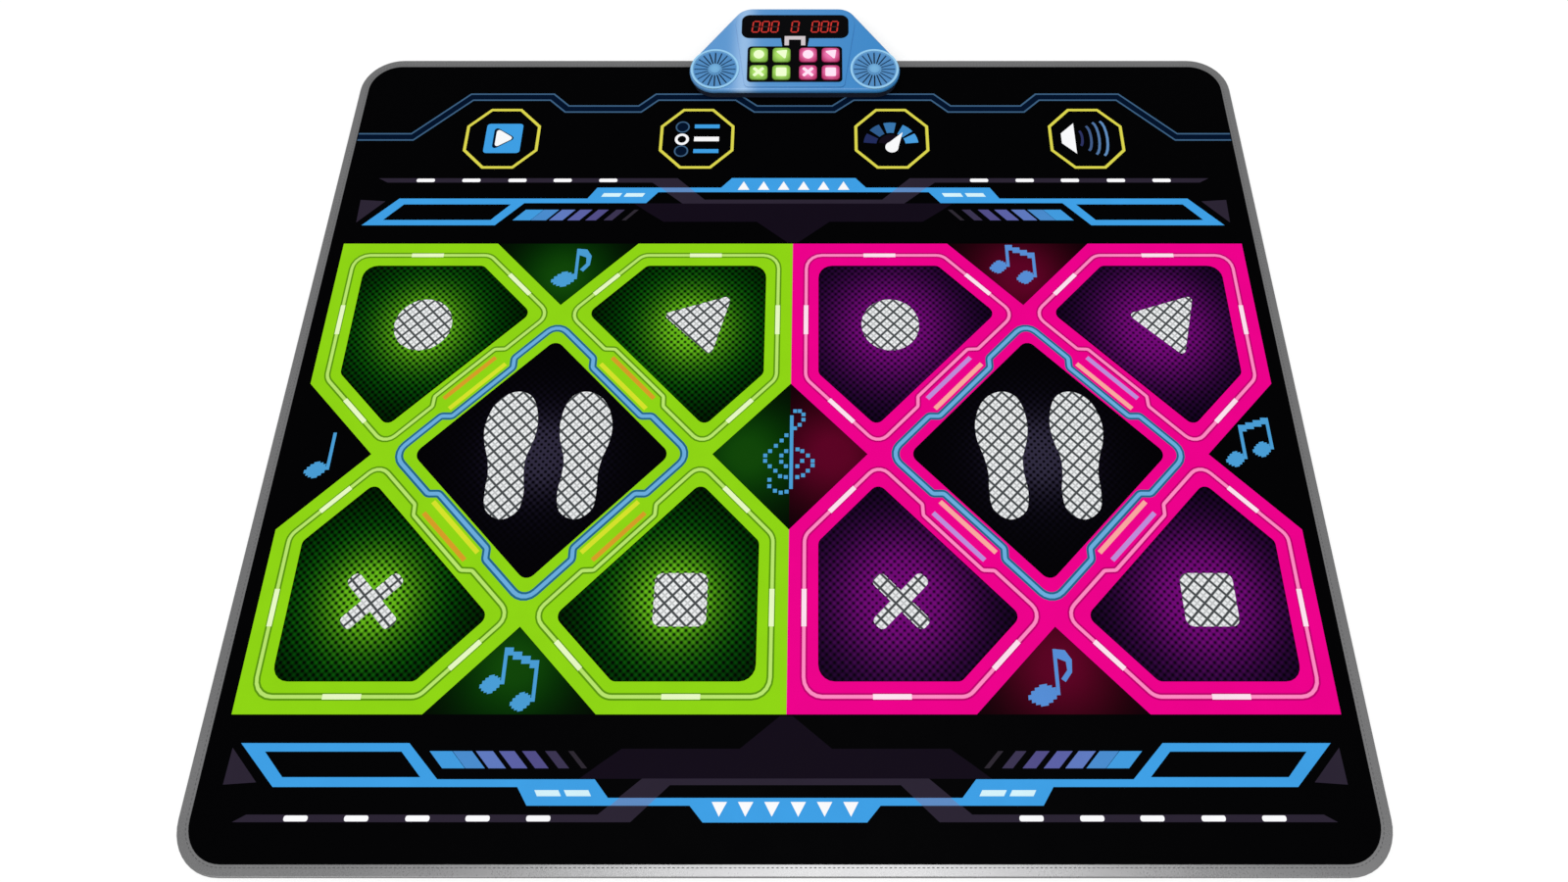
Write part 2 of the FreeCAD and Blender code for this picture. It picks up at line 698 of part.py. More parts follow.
def build_shell():
    """Builds the console's upper shell with its bosses and openings."""
    low = size("- rim_depth")
    blank = face_prism("shell_blank", CONSOLE_OUTLINE, low, "0")
    round_top(blank, size("rim_depth"), size("rim_round"))
    plateau_foot = size("- face_thick / 2")
    plateau = face_prism("plateau", PLATEAU_OUTLINE, plateau_foot, size("plateau_rise"))
    round_top(plateau, size("plateau_rise + face_thick / 2"), size("plateau_round"))
    hollow = face_prism("shell_hollow", CONSOLE_OUTLINE, f"{low} - 1", FACE_UNDER, size("- shell_wall"))
    bosses = []
    holes = []
    for index, (x, back) in enumerate(clamp_spots() + case_screw_spots()):
        top = face_level(back, size("- face_thick / 2"))
        tall = f"{top} - {boss_foot()}"
        bosses.append(cylinder(f"boss{index}", size("boss_radius"), tall, (x, back, boss_foot())))
        bore = size("screw_radius + screw_play")
        deep = size("screw_bite + screw_play * 4")
        holes.append(cylinder(f"boss_bore{index}", bore, deep, (x, back, boss_foot())))
    studs = [
        cylinder(
            f"stud{index}", size("stud_radius"), size("board_depth - face_thick / 2"),
            on_face(x, along, BOARD_TOP), tilted=True,
        )
        for index, (x, along) in enumerate(stud_spots())
    ]
    bores = [
        cylinder(
            f"stud_bore{index}", size("board_screw_radius + screw_play"),
            size("board_depth - face_thick * 1.2"), on_face(x, along, BOARD_TOP), tilted=True,
        )
        for index, (x, along) in enumerate(stud_spots())
    ]
    through = size("- face_thick * 1.5")
    above = size("plateau_rise * 2")
    openings = [
        face_prism("window_hole", WINDOW_OUTLINE, through, above, size("case_play")),
        face_prism("tab_hole", TAB_OUTLINE, through, above, size("case_play")),
        face_prism("bezel_hole", BEZEL_OUTLINE, through, above, size("case_play")),
    ]
    for sign in (-1, 1):
        spot = on_face(f"{sign} * Sizes.pod_x", size("pod_v"), through)
        openings.append(cylinder(
            f"grille_hole{sign + 1}", size("grille_radius + case_play"), f"( {above} ) - ( {through} )",
            spot, tilted=True,
        ))
    walls = cut("shell_walls", fuse("shell_solid", [blank, plateau]), [hollow])
    whole = fuse("shell_with_bosses", [walls] + bosses + studs)
    node("top_shell", cut("shell_cut", whole, openings + holes + bores))


def stud_spots():
    """Lists where the board hangs from the shell."""
    return [(f"{sign} * Sizes.stud_x", size(f"stud_{end}_v")) for sign in (-1, 1) for end in ("low", "top")]


def build_housing():
    """Builds the lower housing: it lies on the mat in front and reaches the ground behind it."""
    outer = size("- housing_inset")
    inner = size("- housing_inset - housing_side")
    ceiling = size("( mat_thick + face_height * 2 )")
    foot = size("ground_gap")
    spot = ("0", size("console_back"), foot)
    blank = prism("housing_blank", CONSOLE_OUTLINE, f"{ceiling} - {foot}", spot, outer)
    step = box("mat_step", (
        (size("- pod_x * 2"), size("pod_x * 2")),
        (size("console_back - pod_radius"), f"{MAT_REAR} + Sizes.pad_play"),
        ("0", MAT_TOP),
    ))
    rise = box("tape_step", (
        (size("- pod_x * 2"), size("pod_x * 2")),
        (f"{MAT_REAR} - Sizes.binding_width - Sizes.pad_play", f"{MAT_REAR} + Sizes.pad_play"),
        (MAT_TOP, f"{MAT_TOP} + Sizes.binding_rise + Sizes.layer_play"),
    ))
    lid_foot = size("- housing_lap")
    lid = box("housing_lid", (
        (size("- pod_x * 2"), size("pod_x * 2")), (size("- pod_radius"), size("crown_v * 2")),
        (lid_foot, size("face_height * 4")),
    ), tilted=True)
    cavity = prism(
        "housing_cavity", CONSOLE_OUTLINE, f"{ceiling}", ("0", size("console_back"), HOUSING_FLOOR), inner
    )
    # The rear cavity keeps the crown corners; its front corners lie on the same slanted wall.
    wall_line = f"( {MAT_REAR} + Sizes.pad_play + Sizes.housing_wall - {CONSOLE_BACK} )"
    crown = size("crown_v")
    share = f"( ( {crown} - Sizes.crown_radius - ( {inner} ) - {wall_line} )" \
        f" / ( {crown} - Sizes.pod_v + Sizes.pod_radius - Sizes.crown_radius ) )"
    hip_x = f"( Sizes.crown_x + {share} * ( Sizes.pod_x - Sizes.crown_x ) )"
    hip_v = f"( {crown} - {share} * ( {crown} - Sizes.pod_v ) )"
    hip_radius = f"( Sizes.crown_radius + {share} * ( Sizes.pod_radius - Sizes.crown_radius ) )"
    rear_outline = [
        (f"{sign} * {x}", along, radius)
        for sign in (-1, 1)
        for x, along, radius in (
            (size("crown_x"), size("crown_v"), size("crown_radius")), (hip_x, hip_v, hip_radius),
        )
    ]
    bay = prism(
        "rear_cavity", rear_outline, f"{HOUSING_FLOOR} + 1 - {BAY_FLOOR}",
        ("0", size("console_back"), BAY_FLOOR), inner,
    )
    posts = [
        cylinder(f"post{index}", size("boss_radius"), f"{boss_foot()} - {low}", (x, back, low))
        for index, (x, back, low) in enumerate(
            [(x, back, f"( {MAT_TOP} + Sizes.housing_wall / 2 )") for x, back in clamp_spots()]
            + [(x, back, size("( ground_gap + housing_wall / 2 )")) for x, back in case_screw_spots()]
        )
    ]
    bores = [
        cylinder(f"post_bore{index}", size("screw_radius + 2 * screw_play"), ceiling, (x, back, "0"))
        for index, (x, back) in enumerate(clamp_spots() + case_screw_spots())
    ]
    sinks = [
        cone(
            f"case_sink{index}", size("screw_head + screw_play"), size("screw_radius + screw_play"),
            size("housing_wall"), (x, back, foot),
        )
        for index, (x, back) in enumerate(case_screw_spots())
    ]
    ribs = [
        box(f"bay_rib{sign + 1}", (
            (f"{sign} * ( Sizes.bay_half + Sizes.bay_wall / 2 ) - Sizes.bay_wall / 2",
             f"{sign} * ( Sizes.bay_half + Sizes.bay_wall / 2 ) + Sizes.bay_wall / 2"),
            (size("cell_back - bay_deep / 2"), size("cell_back + bay_deep / 2")),
            (size("ground_gap + housing_wall / 2"), size("cell_rest + cell_radius * 2")),
        ))
        for sign in (-1, 1)
    ]
    door_post = cylinder(
        "door_post", size("boss_radius"), size("cell_radius"),
        ("0", size("door_screw_back"), size("ground_gap + door_thick * 1.5")),
    )
    door_bore = cylinder(
        "door_bore", size("screw_radius + screw_play"), size("ground_gap + cell_radius"),
        ("0", size("door_screw_back"), "0"),
    )
    opening = box("door_opening", (
        (size("- bay_half + door_lip"), size("bay_half - door_lip")),
        (size("cell_back - bay_deep / 2"), size("cell_back + bay_deep / 2 - door_lip")),
        ("0", BAY_FLOOR),
    ))
    tail_hole = box("tail_hole", (
        (size("- tail_width / 2 - pad_play"), size("tail_width / 2 + pad_play")),
        (size("tail_back - tail_thick / 2 - pad_play"), size("tail_back + tail_thick / 2 + pad_play")),
        (MAT_TOP, f"{HOUSING_FLOOR} + 1"),
    ))
    tall = size("( slider_tall / 2 + pad_play )")
    switch_slot = box("switch_slot", (
        (size("switch_x - slider_width - pad_play"), size("switch_x + slider_width + pad_play")),
        (f"{REAR_WALL} - Sizes.housing_side * 1.5", f"{REAR_WALL} + 1"),
        (f"Sizes.switch_height - {tall}", f"Sizes.switch_height + {tall}"),
    ))
    walls = cut("housing_walls", blank, [step, rise, lid, cavity, bay])
    whole = fuse("housing_with_posts", [walls, door_post] + posts + ribs)
    holes = bores + sinks + door_recess() + [door_bore, opening, tail_hole, switch_slot]
    node("lower_housing", cut("housing_cut", whole, holes))
    node("case_screws", group("case_screw_set", [
        screw(f"case{index}", x, back, foot, size("housing_wall"), f"{boss_foot()} + Sizes.screw_bite")
        for index, (x, back) in enumerate(case_screw_spots())
    ] + [
        screw(
            "door_fixing", "0", size("door_screw_back"), foot, size("door_thick"),
            size("ground_gap + cell_radius - screw_play * 4"),
        )
    ]))


def door_recess():
    """Gives the shallow recess that the battery door lies in, under the housing."""
    return [
        box("recess", (
            (size("- bay_half - door_lip"), size("bay_half + door_lip")),
            (size("cell_back - bay_deep / 2 - door_lip"), size("cell_back + bay_deep / 2")),
            ("0", size("ground_gap + door_thick + layer_play")),
        )),
        box("recess_tab", (
            (size("- door_tab"), size("door_tab")),
            (size("cell_back"), size("door_screw_back + boss_radius + layer_play")),
            ("0", size("ground_gap + door_thick + layer_play")),
        )),
    ]


def build_battery_bay():
    """Builds the door, the cells and their contacts."""
    play = size("case_play")
    foot = size("ground_gap")
    front = size("( cell_back - bay_deep / 2 + case_play )")
    back = size("( cell_back + bay_deep / 2 - case_play )")
    plate = box("door_plate", (
        (size("- bay_half - door_lip + case_play"), size("bay_half + door_lip - case_play")),
        (f"{front} - Sizes.door_lip", back),
        (foot, size("ground_gap + door_thick")),
    ))
    tab = box("door_ear", (
        (size("- door_tab + case_play"), size("door_tab - case_play")),
        (size("cell_back"), size("door_screw_back + boss_radius - case_play")),
        (foot, size("ground_gap + door_thick")),
    ))
    plug = box("door_plug", (
        (size("- bay_half + door_lip + case_play"), size("bay_half - door_lip - case_play")),
        (front, f"{back} - Sizes.door_lip"),
        (foot, f"{BAY_FLOOR} - {play}"),
    ))
    hole = cone(
        "door_sink", size("screw_head + screw_play"), size("screw_radius + screw_play"), size("door_thick"),
        ("0", size("door_screw_back"), foot),
    )
    node("battery_door", cut("door_cut", fuse("door_solid", [plate, tab, plug]), [hole]))

    cells = []
    contacts = []
    for index, facing in ((-1, 1), (0, -1), (1, 1)):
        back = size(f"( cell_back - door_lip / 2 + ( {index} ) * cell_pitch )")
        end = f"{facing} * Sizes.cell_length / 2"
        tip = f"{facing} * ( Sizes.cell_length / 2 + Sizes.nub_length )"
        wall = size("( bay_half - contact_plate )")
        case = lengthways(f"cell{index + 1}", size("cell_radius"), f"- ( {end} )", end, back, facing)
        nub = lengthways(f"nub{index + 1}", size("nub_radius"), end, tip, back, facing)
        cells.append(fuse(f"battery{index + 1}", [case, nub]))
        spring = lengthways(
            f"spring{index + 1}", size("spring_radius"), f"- ( {end} )", f"- {facing} * {wall}", back, -facing
        )
        button = lengthways(f"button{index + 1}", size("nub_radius"), tip, f"{facing} * {wall}", back, facing)
        for sign, bump in ((facing, button), (-facing, spring)):
            leaf = box(f"leaf{index + 1}_{sign + 1}", (
                (f"{sign} * {wall} + ( {sign - 1} ) / 2 * Sizes.contact_plate",
                 f"{sign} * {wall} + ( {sign + 1} ) / 2 * Sizes.contact_plate"),
                (f"{back} - Sizes.contact_side / 2", f"{back} + Sizes.contact_side / 2"),
                (f"{CELL_LEVEL} - Sizes.contact_side / 2", f"{CELL_LEVEL} + Sizes.contact_side / 2"),
            ))
            contacts.append(fuse(f"contact{index + 1}_{sign + 1}", [leaf, bump]))
    node("battery_cells", group("cell_set", cells))
    node("battery_contacts", group("contact_set", contacts))


def lengthways(name, radius, start, stop, back, facing):
    """Makes a cylinder along X from start to stop; facing is the sign of that direction."""
    sideways = FreeCAD.Rotation(FreeCAD.Vector(0, 1, 0), 90)
    low = start if facing > 0 else stop
    length = f"{facing} * ( ( {stop} ) - ( {start} ) )"
    return cylinder(name, radius, length, (low, back, CELL_LEVEL), rotation=sideways)


def build_display():
    """Builds the display window, the digit modules and the bracket light behind it."""
    top = size("( plateau_rise - window_sink )")
    pane = face_prism("pane", WINDOW_OUTLINE, PLATE_FOOT, top)
    tab = face_prism("pane_tab", TAB_OUTLINE, PLATE_FOOT, top)
    rim = face_prism("pane_rim", WINDOW_OUTLINE, FLANGE_FOOT, PLATE_FOOT, size("flange"))
    light_top = size("( plateau_rise - window_sink / 2 )")
    node("display_window", cut("window_cut", fuse("window_solid", [pane, tab, rim]), [
        bracket("bracket_hole", size("( - rim_depth )"), size("plateau_rise"), size("layer_play"))
    ]))
    node("indicator_light", bracket("bracket", PLATE_FOOT, light_top, "0"))
    modules = []
    for index, (x, width) in enumerate((
        (size("- score_x"), "score_width"), ("0", "level_width"), (size("score_x"), "score_width"),
    )):
        modules.append(box(f"module{index}", (
            (f"( {x} ) - Sizes.{width} / 2", f"( {x} ) + Sizes.{width} / 2"),
            (size("window_v - module_deep / 2"), size("window_v + module_deep / 2")),
            (BOARD_TOP, f"{FLANGE_FOOT} - Sizes.case_play"),
        ), tilted=True))
    node("display_modules", group("module_set", modules))


def bracket(name, low, high, grow):
    """Makes the bracket shape: a bar with two legs that point to the player."""
    foot = size("light_v")
    bar_low = f"( {foot} + Sizes.light_deep - Sizes.light_bar - {grow} )"
    bar = box(f"{name}_bar", (
        (f"- Sizes.light_width / 2 - {grow}", f"Sizes.light_width / 2 + {grow}"),
        (bar_low, f"{foot} + Sizes.light_deep + {grow}"), (low, high),
    ), tilted=True)
    legs = [
        box(f"{name}_leg{sign + 1}", (
            (f"{sign} * ( Sizes.light_width - Sizes.light_bar ) / 2 - Sizes.light_bar / 2 - {grow}",
             f"{sign} * ( Sizes.light_width - Sizes.light_bar ) / 2 + Sizes.light_bar / 2 + {grow}"),
            (f"{foot} - {grow}", f"{bar_low} + {grow} + Sizes.layer_play"), (low, high),
        ), tilted=True)
        for sign in (-1, 1)
    ]
    return fuse(name, [bar] + legs)


def key_spots():
    """Lists every key by colour and symbol with the middle of its place on the face."""
    spots = []
    for colour, side in SIDES.items():
        for symbol, (across, along) in SYMBOLS.items():
            ring = "outer" if across == side else "inner"
            row = "top" if along > 0 else "low"
            spots.append((f"{colour}_{symbol}", f"{side} * {size(f'key_{ring}_x')}", size(f"key_{row}_v")))
    return spots


def key_outline(x, along):
    """Gives the four corner circles of a key."""
    reach_x = size("( key_width / 2 - key_corner )")
    reach_v = size("( key_deep / 2 - key_corner )")
    return [
        (f"{x} + {a} * {reach_x}", f"{along} + {b} * {reach_v}", size("key_corner"))
        for a in (-1, 1)
        for b in (-1, 1)
    ]


def build_keys():
    """Builds the key surround and the eight keys, each with its retaining flange and stem."""
    bezel_top = size("( plateau_rise - bezel_sink )")
    plate = face_prism("bezel_plate", BEZEL_OUTLINE, PLATE_FOOT, bezel_top)
    rim = face_prism("bezel_rim", BEZEL_OUTLINE, FLANGE_FOOT, PLATE_FOOT, size("flange"))
    holes = []
    switches = []
    key_foot = f"( {FLANGE_FOOT} - Sizes.layer_play )"
    flange_foot = f"( {key_foot} - Sizes.flange_thick )"
    stem_foot = size("( - board_depth + switch_thick + key_travel + layer_play )")
    for name, x, along in key_spots():
        outline = key_outline(x, along)
        hole_foot = f"{FLANGE_FOOT} - 1"
        holes.append(face_prism(f"{name}_hole", outline, hole_foot, f"{bezel_top} + 1", size("key_play")))
        cap_top = f"( {bezel_top} + Sizes.key_proud )"
        cap = face_prism(f"{name}_cap", outline, key_foot, cap_top)
        round_top(cap, f"{cap_top} - {key_foot}", size("key_round"))
        flange = face_prism(f"{name}_flange", outline, flange_foot, key_foot, size("flange * 2 / 3"))
        stem = cylinder(
            f"{name}_stem", size("switch_radius"), f"{flange_foot} - {stem_foot}",
            on_face(x, along, stem_foot), tilted=True,
        )
        node(f"{name}_key", fuse(f"{name}_button", [cap, flange, stem]))
        switches.append(cylinder(
            f"{name}_switch", size("switch_radius"), size("switch_thick"),
            on_face(x, along, BOARD_TOP), tilted=True,
        ))
    node("key_bezel", cut("bezel_cut", fuse("bezel_solid", [plate, rim]), holes))
    node("key_switches", group("switch_set", switches))


def build_board():
    """Builds the board and the screws that hang it from the shell."""
    outline = corners(size("board_half"), size("board_low_v"), size("board_top_v"), size("foot_radius / 2"))
    blank = face_prism("board_blank", outline, BOARD_UNDER, BOARD_TOP)
    screws = []
    holes = []
    shank = size("( board_screw_radius )")
    head_foot = f"( {BOARD_UNDER} - Sizes.screw_radius )"
    for index, (x, along) in enumerate(stud_spots()):
        holes.append(cylinder(
            f"board_hole{index}", f"{shank} + Sizes.screw_play", size("board_thick * 3"),
            on_face(x, along, f"{BOARD_UNDER} - Sizes.board_thick"), tilted=True,
        ))
        head = cylinder(
            f"board_head{index}", size("board_screw_head"), size("screw_radius"),
            on_face(x, along, head_foot), tilted=True,
        )
        body = cylinder(
            f"board_shank{index}", shank, size("( board_depth - face_thick * 1.2 )"),
            on_face(x, along, head_foot), tilted=True,
        )
        screws.append(fuse(f"board_screw{index}", [head, body]))
    node("main_board", cut("board_cut", blank, holes))
    node("board_screws", group("board_screw_set", screws))


def build_speakers():
    """Builds the two speakers and the slotted grilles over them."""
    frames = []
    cones = []
    magnets = []
    grilles = []
    rim = size("speaker_radius")
    throat = size("( speaker_radius - 2 * speaker_rim )")
    neck = size("( speaker_radius - basket_slope )")
    wall = size("basket_floor")
    rim_foot = size("( speaker_gap + speaker_rim )")
    basket_foot = f"( {rim_foot} + Sizes.basket_deep )"
    floor_foot = f"( {basket_foot} + Sizes.basket_floor )"
    cone_foot = f"( {rim_foot} + Sizes.cone_deep )"
    cap_foot = f"( {cone_foot} + Sizes.basket_floor )"
    for sign in (-1, 1):
        x = f"{sign} * Sizes.pod_x"
        along = size("pod_v")

        def at(depth):
            return on_face(x, along, f"- Sizes.face_thick - ( {depth} )")

        ring = cylinder(f"ring{sign + 1}", rim, size("speaker_rim"), at(rim_foot), tilted=True)
        basket = cone(f"basket{sign + 1}", neck, throat, size("basket_deep"), at(basket_foot), tilted=True)
        floor = cylinder(f"basket_floor{sign + 1}", neck, size("basket_floor"), at(floor_foot), tilted=True)
        inner = f"( {throat} - {wall} )"
        bowl = cone(
            f"bowl{sign + 1}", f"{neck} - {wall}", inner, size("basket_deep"), at(basket_foot), tilted=True
        )
        mouth = cylinder(f"mouth{sign + 1}", inner, size("speaker_rim * 2"), at(rim_foot), tilted=True)
        solid = fuse(f"frame_solid{sign + 1}", [ring, basket, floor])
        frames.append(cut(f"frame{sign + 1}", solid, [bowl, mouth]))
        dome = size("dust_cap_radius")
        edge = f"( {inner} - Sizes.speaker_gap )"
        deep = size("cone_deep")
        skin_foot = f"{cone_foot} - Sizes.cone_wall"
        outer = cone(f"cone_out{sign + 1}", dome, edge, deep, at(cone_foot), tilted=True)
        scoop = cone(f"cone_in{sign + 1}", dome, edge, deep, at(skin_foot), tilted=True)
        cap = cylinder(f"dust_cap{sign + 1}", dome, size("dust_cap_deep"), at(cap_foot), tilted=True)
        cones.append(fuse(f"cone{sign + 1}", [cut(f"cone_skin{sign + 1}", outer, [scoop]), cap]))
        magnets.append(cylinder(
            f"magnet{sign + 1}", size("magnet_radius"), size("magnet_thick"),
            at(f"{floor_foot} + Sizes.magnet_thick"), tilted=True,
        ))
        grilles.append(build_grille(f"grille{sign + 1}", x, along))
    node("speaker_frames", group("frame_set", frames))
    node("speaker_cones", group("cone_set", cones))
    node("speaker_magnets", group("magnet_set", magnets))
    node("speaker_grilles", group("grille_set", grilles))


def build_grille(name, x, along):
    """Builds a round grille with a raised ring, a middle cap and radial slots."""
    body = doc.addObject("PartDesign::Body", name)
    disc = new_sketch(body, f"{name}_disc")
    draw_circle(disc, "0", "0", size("grille_radius"))
    plate = body.newObject("PartDesign::Pad", f"{name}_plate")
    plate.Profile = disc
    plate.setExpression("Length", size("face_thick"))
    rings = new_sketch(body, f"{name}_rings")
    draw_circle(rings, "0", "0", size("grille_radius"))
    draw_circle(rings, "0", "0", size("grille_radius - grille_ring"))
    draw_circle(rings, "0", "0", size("cap_radius"))
    raised = body.newObject("PartDesign::Pad", f"{name}_raised")
    raised.Profile = rings
    raised.setExpression("Length", size("face_thick + grille_proud"))
    slot = new_sketch(body, f"{name}_slot")
    end = size("( slot_width / 2 )")
    draw_belt(slot, [
        (f"Sizes.slot_inner + {end}", "0", end), (f"Sizes.slot_outer - {end}", "0", end),
    ])
    pocket = body.newObject("PartDesign::Pocket", f"{name}_first_slot")
    pocket.Profile = slot
    pocket.Reversed = True
    pocket.setExpression("Length", size("face_thick * 2"))
    doc.recompute()
    pattern = body.newObject("PartDesign::PolarPattern", f"{name}_slots")
    pattern.Originals = [pocket]
    pattern.Axis = (origin_feature(body, "Z_Axis"), [""])
    pattern.Angle = 360
    pattern.Occurrences = SPEAKER_SLOTS
    body.Tip = pattern
    return place(body, on_face(x, along, size("- face_thick")), tilted=True)


def build_power_switch():
    """Builds the power switch behind the rear wall and the slider that a finger moves."""
    inner_wall = f"( {REAR_WALL} - Sizes.housing_side )"
    node("power_switch", box("switch_box", (
        (size("switch_x - slider_width * 1.5"), size("switch_x + slider_width * 1.5")),
        (f"{inner_wall} - Sizes.slider_width * 1.5", f"{inner_wall} - Sizes.layer_play"),
        (size("switch_height - slider_tall * 1.2"), size("switch_height + slider_tall * 1.2")),
    )))
    node("power_slider", box("slider_knob", (
        (size("switch_x - slider_width"), size("switch_x")),
        (inner_wall, f"{REAR_WALL} + Sizes.slider_proud"),
        (size("switch_height - slider_tall / 2"), size("switch_height + slider_tall / 2")),
    )))


def build_feet():
    """Builds the rubber feet under the part of the housing that stands behind the mat."""
    spots = [
        (f"{sign} * {across}", back)
        for sign in (-1, 1)
        for across, back in (
            (size("( pod_x * 0.8 )"), f"{MAT_REAR} + Sizes.foot_radius * 2.4"),
            (size("( crown_x * 0.8 )"), f"{REAR_WALL} - Sizes.foot_radius * 1.8"),
        )
    ]
    node("rubber_feet", group("foot_set", [
        cylinder(f"foot{index}", size("foot_radius"), size("ground_gap"), (x, back, "0"))
        for index, (x, back) in enumerate(spots)
    ]))


def check_and_write():
    """Checks every object, then writes each sub-part to its own file."""
    doc.recompute()
    broken = [item.Name for item in doc.Objects if {"Invalid", "Error"} & set(item.State)]
    broken += [piece.Label for piece in nodes if piece.Shape.isNull() or not piece.Shape.isValid()]
    if broken:
        raise RuntimeError(f"failed objects: {broken}")
    os.makedirs("parts", exist_ok=True)
    for piece in nodes:
        piece.Shape.exportStep(f"parts/{piece.Label}.step")
        print(f"{piece.Label}: {len(piece.Shape.Solids)} solids, {piece.Shape.Volume:.0f} mm3")
    print(f"{len(nodes)} sub-parts")


build_mat()
build_pads()
build_shell()
build_housing()
build_battery_bay()
build_display()
build_keys()
build_board()
build_speakers()
build_power_switch()
build_feet()
check_and_write()
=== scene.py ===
"""Looks of a soft two-player dance mat and its control console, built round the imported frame.

The cover is one flush print: every coloured shape is inlaid in one partition of the mat's top, and the
partition is shared out between the ground panels, the step pads and the function zones.
"""

import json
import logging
import math
from dataclasses import dataclass, field
from enum import Enum

import bpy
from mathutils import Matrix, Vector
from mathutils.geometry import delaunay_2d_cdt


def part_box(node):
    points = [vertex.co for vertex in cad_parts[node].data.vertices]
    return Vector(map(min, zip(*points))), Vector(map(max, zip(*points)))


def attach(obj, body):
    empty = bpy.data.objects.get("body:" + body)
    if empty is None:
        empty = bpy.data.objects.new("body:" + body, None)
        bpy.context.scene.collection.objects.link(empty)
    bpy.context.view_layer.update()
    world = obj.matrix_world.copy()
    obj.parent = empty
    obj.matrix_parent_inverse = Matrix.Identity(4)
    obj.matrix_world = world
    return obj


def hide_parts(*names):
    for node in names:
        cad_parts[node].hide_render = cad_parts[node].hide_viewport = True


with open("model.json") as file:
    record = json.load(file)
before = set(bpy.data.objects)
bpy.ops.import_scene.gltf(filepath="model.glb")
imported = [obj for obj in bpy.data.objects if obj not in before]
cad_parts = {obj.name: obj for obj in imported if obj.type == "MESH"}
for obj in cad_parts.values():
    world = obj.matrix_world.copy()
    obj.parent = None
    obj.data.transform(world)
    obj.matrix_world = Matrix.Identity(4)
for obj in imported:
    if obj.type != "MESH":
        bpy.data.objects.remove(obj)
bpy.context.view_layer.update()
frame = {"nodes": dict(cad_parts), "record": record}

LOG = logging.getLogger("dance_mat")
MM = 0.001
SQUARE_ROOT = math.sqrt(2.0)
LIGHT_LEVEL = 0.88  # the studio lights a level surface a little over full white
WINDOW_TOP = 1.2  # the display window's rise out of the console's face, in millimetres
KEY_TOP = 3.4  # the keys' rise out of it
HATCH_PITCH = 0.0108  # the coarse net of the hatched inks, in metres
FINE_PITCH = 0.0054  # their fine net, and the net of dots in a glow
TOP_CELLS, UNDERSIDE_CELLS = 1, 2  # the kinds of result asked of delaunay_2d_cdt
BLACK = (0.0, 0.0, 0.0)
MIDDLE = (0.0, 0.0)

Point = tuple[float, float]
Outline = list[Point]
Colour = tuple[float, float, float]


# ------------------------------------------------------------------ plane geometry, millimetres
def signed_area(outline: Outline) -> float:
    """Gives an outline's area, positive when it runs anticlockwise."""
    pairs = zip(outline, outline[1:] + outline[:1])
    return sum(x0 * y1 - x1 * y0 for (x0, y0), (x1, y1) in pairs) / 2.0


def rounded(outline: Outline, radii: list[float] | float, steps: int = 5) -> Outline:
    """Rounds the corners of an outline.

    Args:
        outline: corner points in order.
        radii: one radius for every corner, or a list of them.
        steps: straight runs in each rounded corner.

    Returns:
        The outline with its arcs.
    """
    count = len(outline)
    sizes = radii if isinstance(radii, list) else [radii] * count
    result: Outline = []
    for index, corner in enumerate(outline):
        radius = sizes[index]
        here = Vector(corner)
        before = (Vector(outline[index - 1]) - here).normalized()
        after = (Vector(outline[(index + 1) % count]) - here).normalized()
        if radius <= 0.0:
            result.append(corner)
            continue
        half = math.acos(max(-1.0, min(1.0, before.dot(after)))) / 2.0
        centre = here + (before + after).normalized() * (radius / math.sin(half))
        start = here + before * (radius / math.tan(half)) - centre
        stop = here + after * (radius / math.tan(half)) - centre
        first = math.atan2(start.y, start.x)
        turn = (math.atan2(stop.y, stop.x) - first + math.pi) % (2.0 * math.pi) - math.pi
        for step in range(steps + 1):
            angle = first + turn * step / steps
            result.append((centre.x + radius * math.cos(angle), centre.y + radius * math.sin(angle)))
    return result


def regular(centre: Point, radius: float, count: int, turn: float = 0.0, stretch: float = 1.0) -> Outline:
    """Gives a regular outline of that many corners; stretch scales it across."""
    return [
        (
            centre[0] + stretch * radius * math.cos(turn + 2.0 * math.pi * k / count),
            centre[1] + radius * math.sin(turn + 2.0 * math.pi * k / count),
        )
        for k in range(count)
    ]


def arc(centre: Point, radius: float, degrees: list[float] | range) -> Outline:
    """Gives the points of a circle at those angles."""
    turns = [math.radians(angle) for angle in degrees]
    return [(centre[0] + radius * math.cos(t), centre[1] + radius * math.sin(t)) for t in turns]


def rectangle(left: float, low: float, right: float, high: float) -> Outline:
    """Gives a rectangle's corners."""
    return [(left, low), (right, low), (right, high), (left, high)]


def bar(start: Point, stop: Point, width: float) -> Outline:
    """Gives a straight bar with square ends."""
    along = (Vector(stop) - Vector(start)).normalized() * width / 2.0
    side = Vector((-along.y, along.x))
    ends = [Vector(start) - side, Vector(stop) - side, Vector(stop) + side, Vector(start) + side]
    return [(point.x, point.y) for point in ends]


def offset_sides(points: Outline, reach: float, closed: bool) -> Outline:
    """Moves a line sideways, to its left, by reach, with mitred corners."""
    count = len(points)
    result: Outline = []
    for index in range(count):
        here = Vector(points[index])
        before = Vector(points[index - 1]) if closed or index > 0 else None
        after = Vector(points[(index + 1) % count]) if closed or index < count - 1 else None
        into = (here - before).normalized() if before is not None else (after - here).normalized()
        out = (after - here).normalized() if after is not None else into
        middle = (into + out).normalized()
        normal = Vector((-middle.y, middle.x))
        scale = reach / max(0.3, normal.dot(Vector((-into.y, into.x))))
        result.append((here.x + normal.x * scale, here.y + normal.y * scale))
    return result


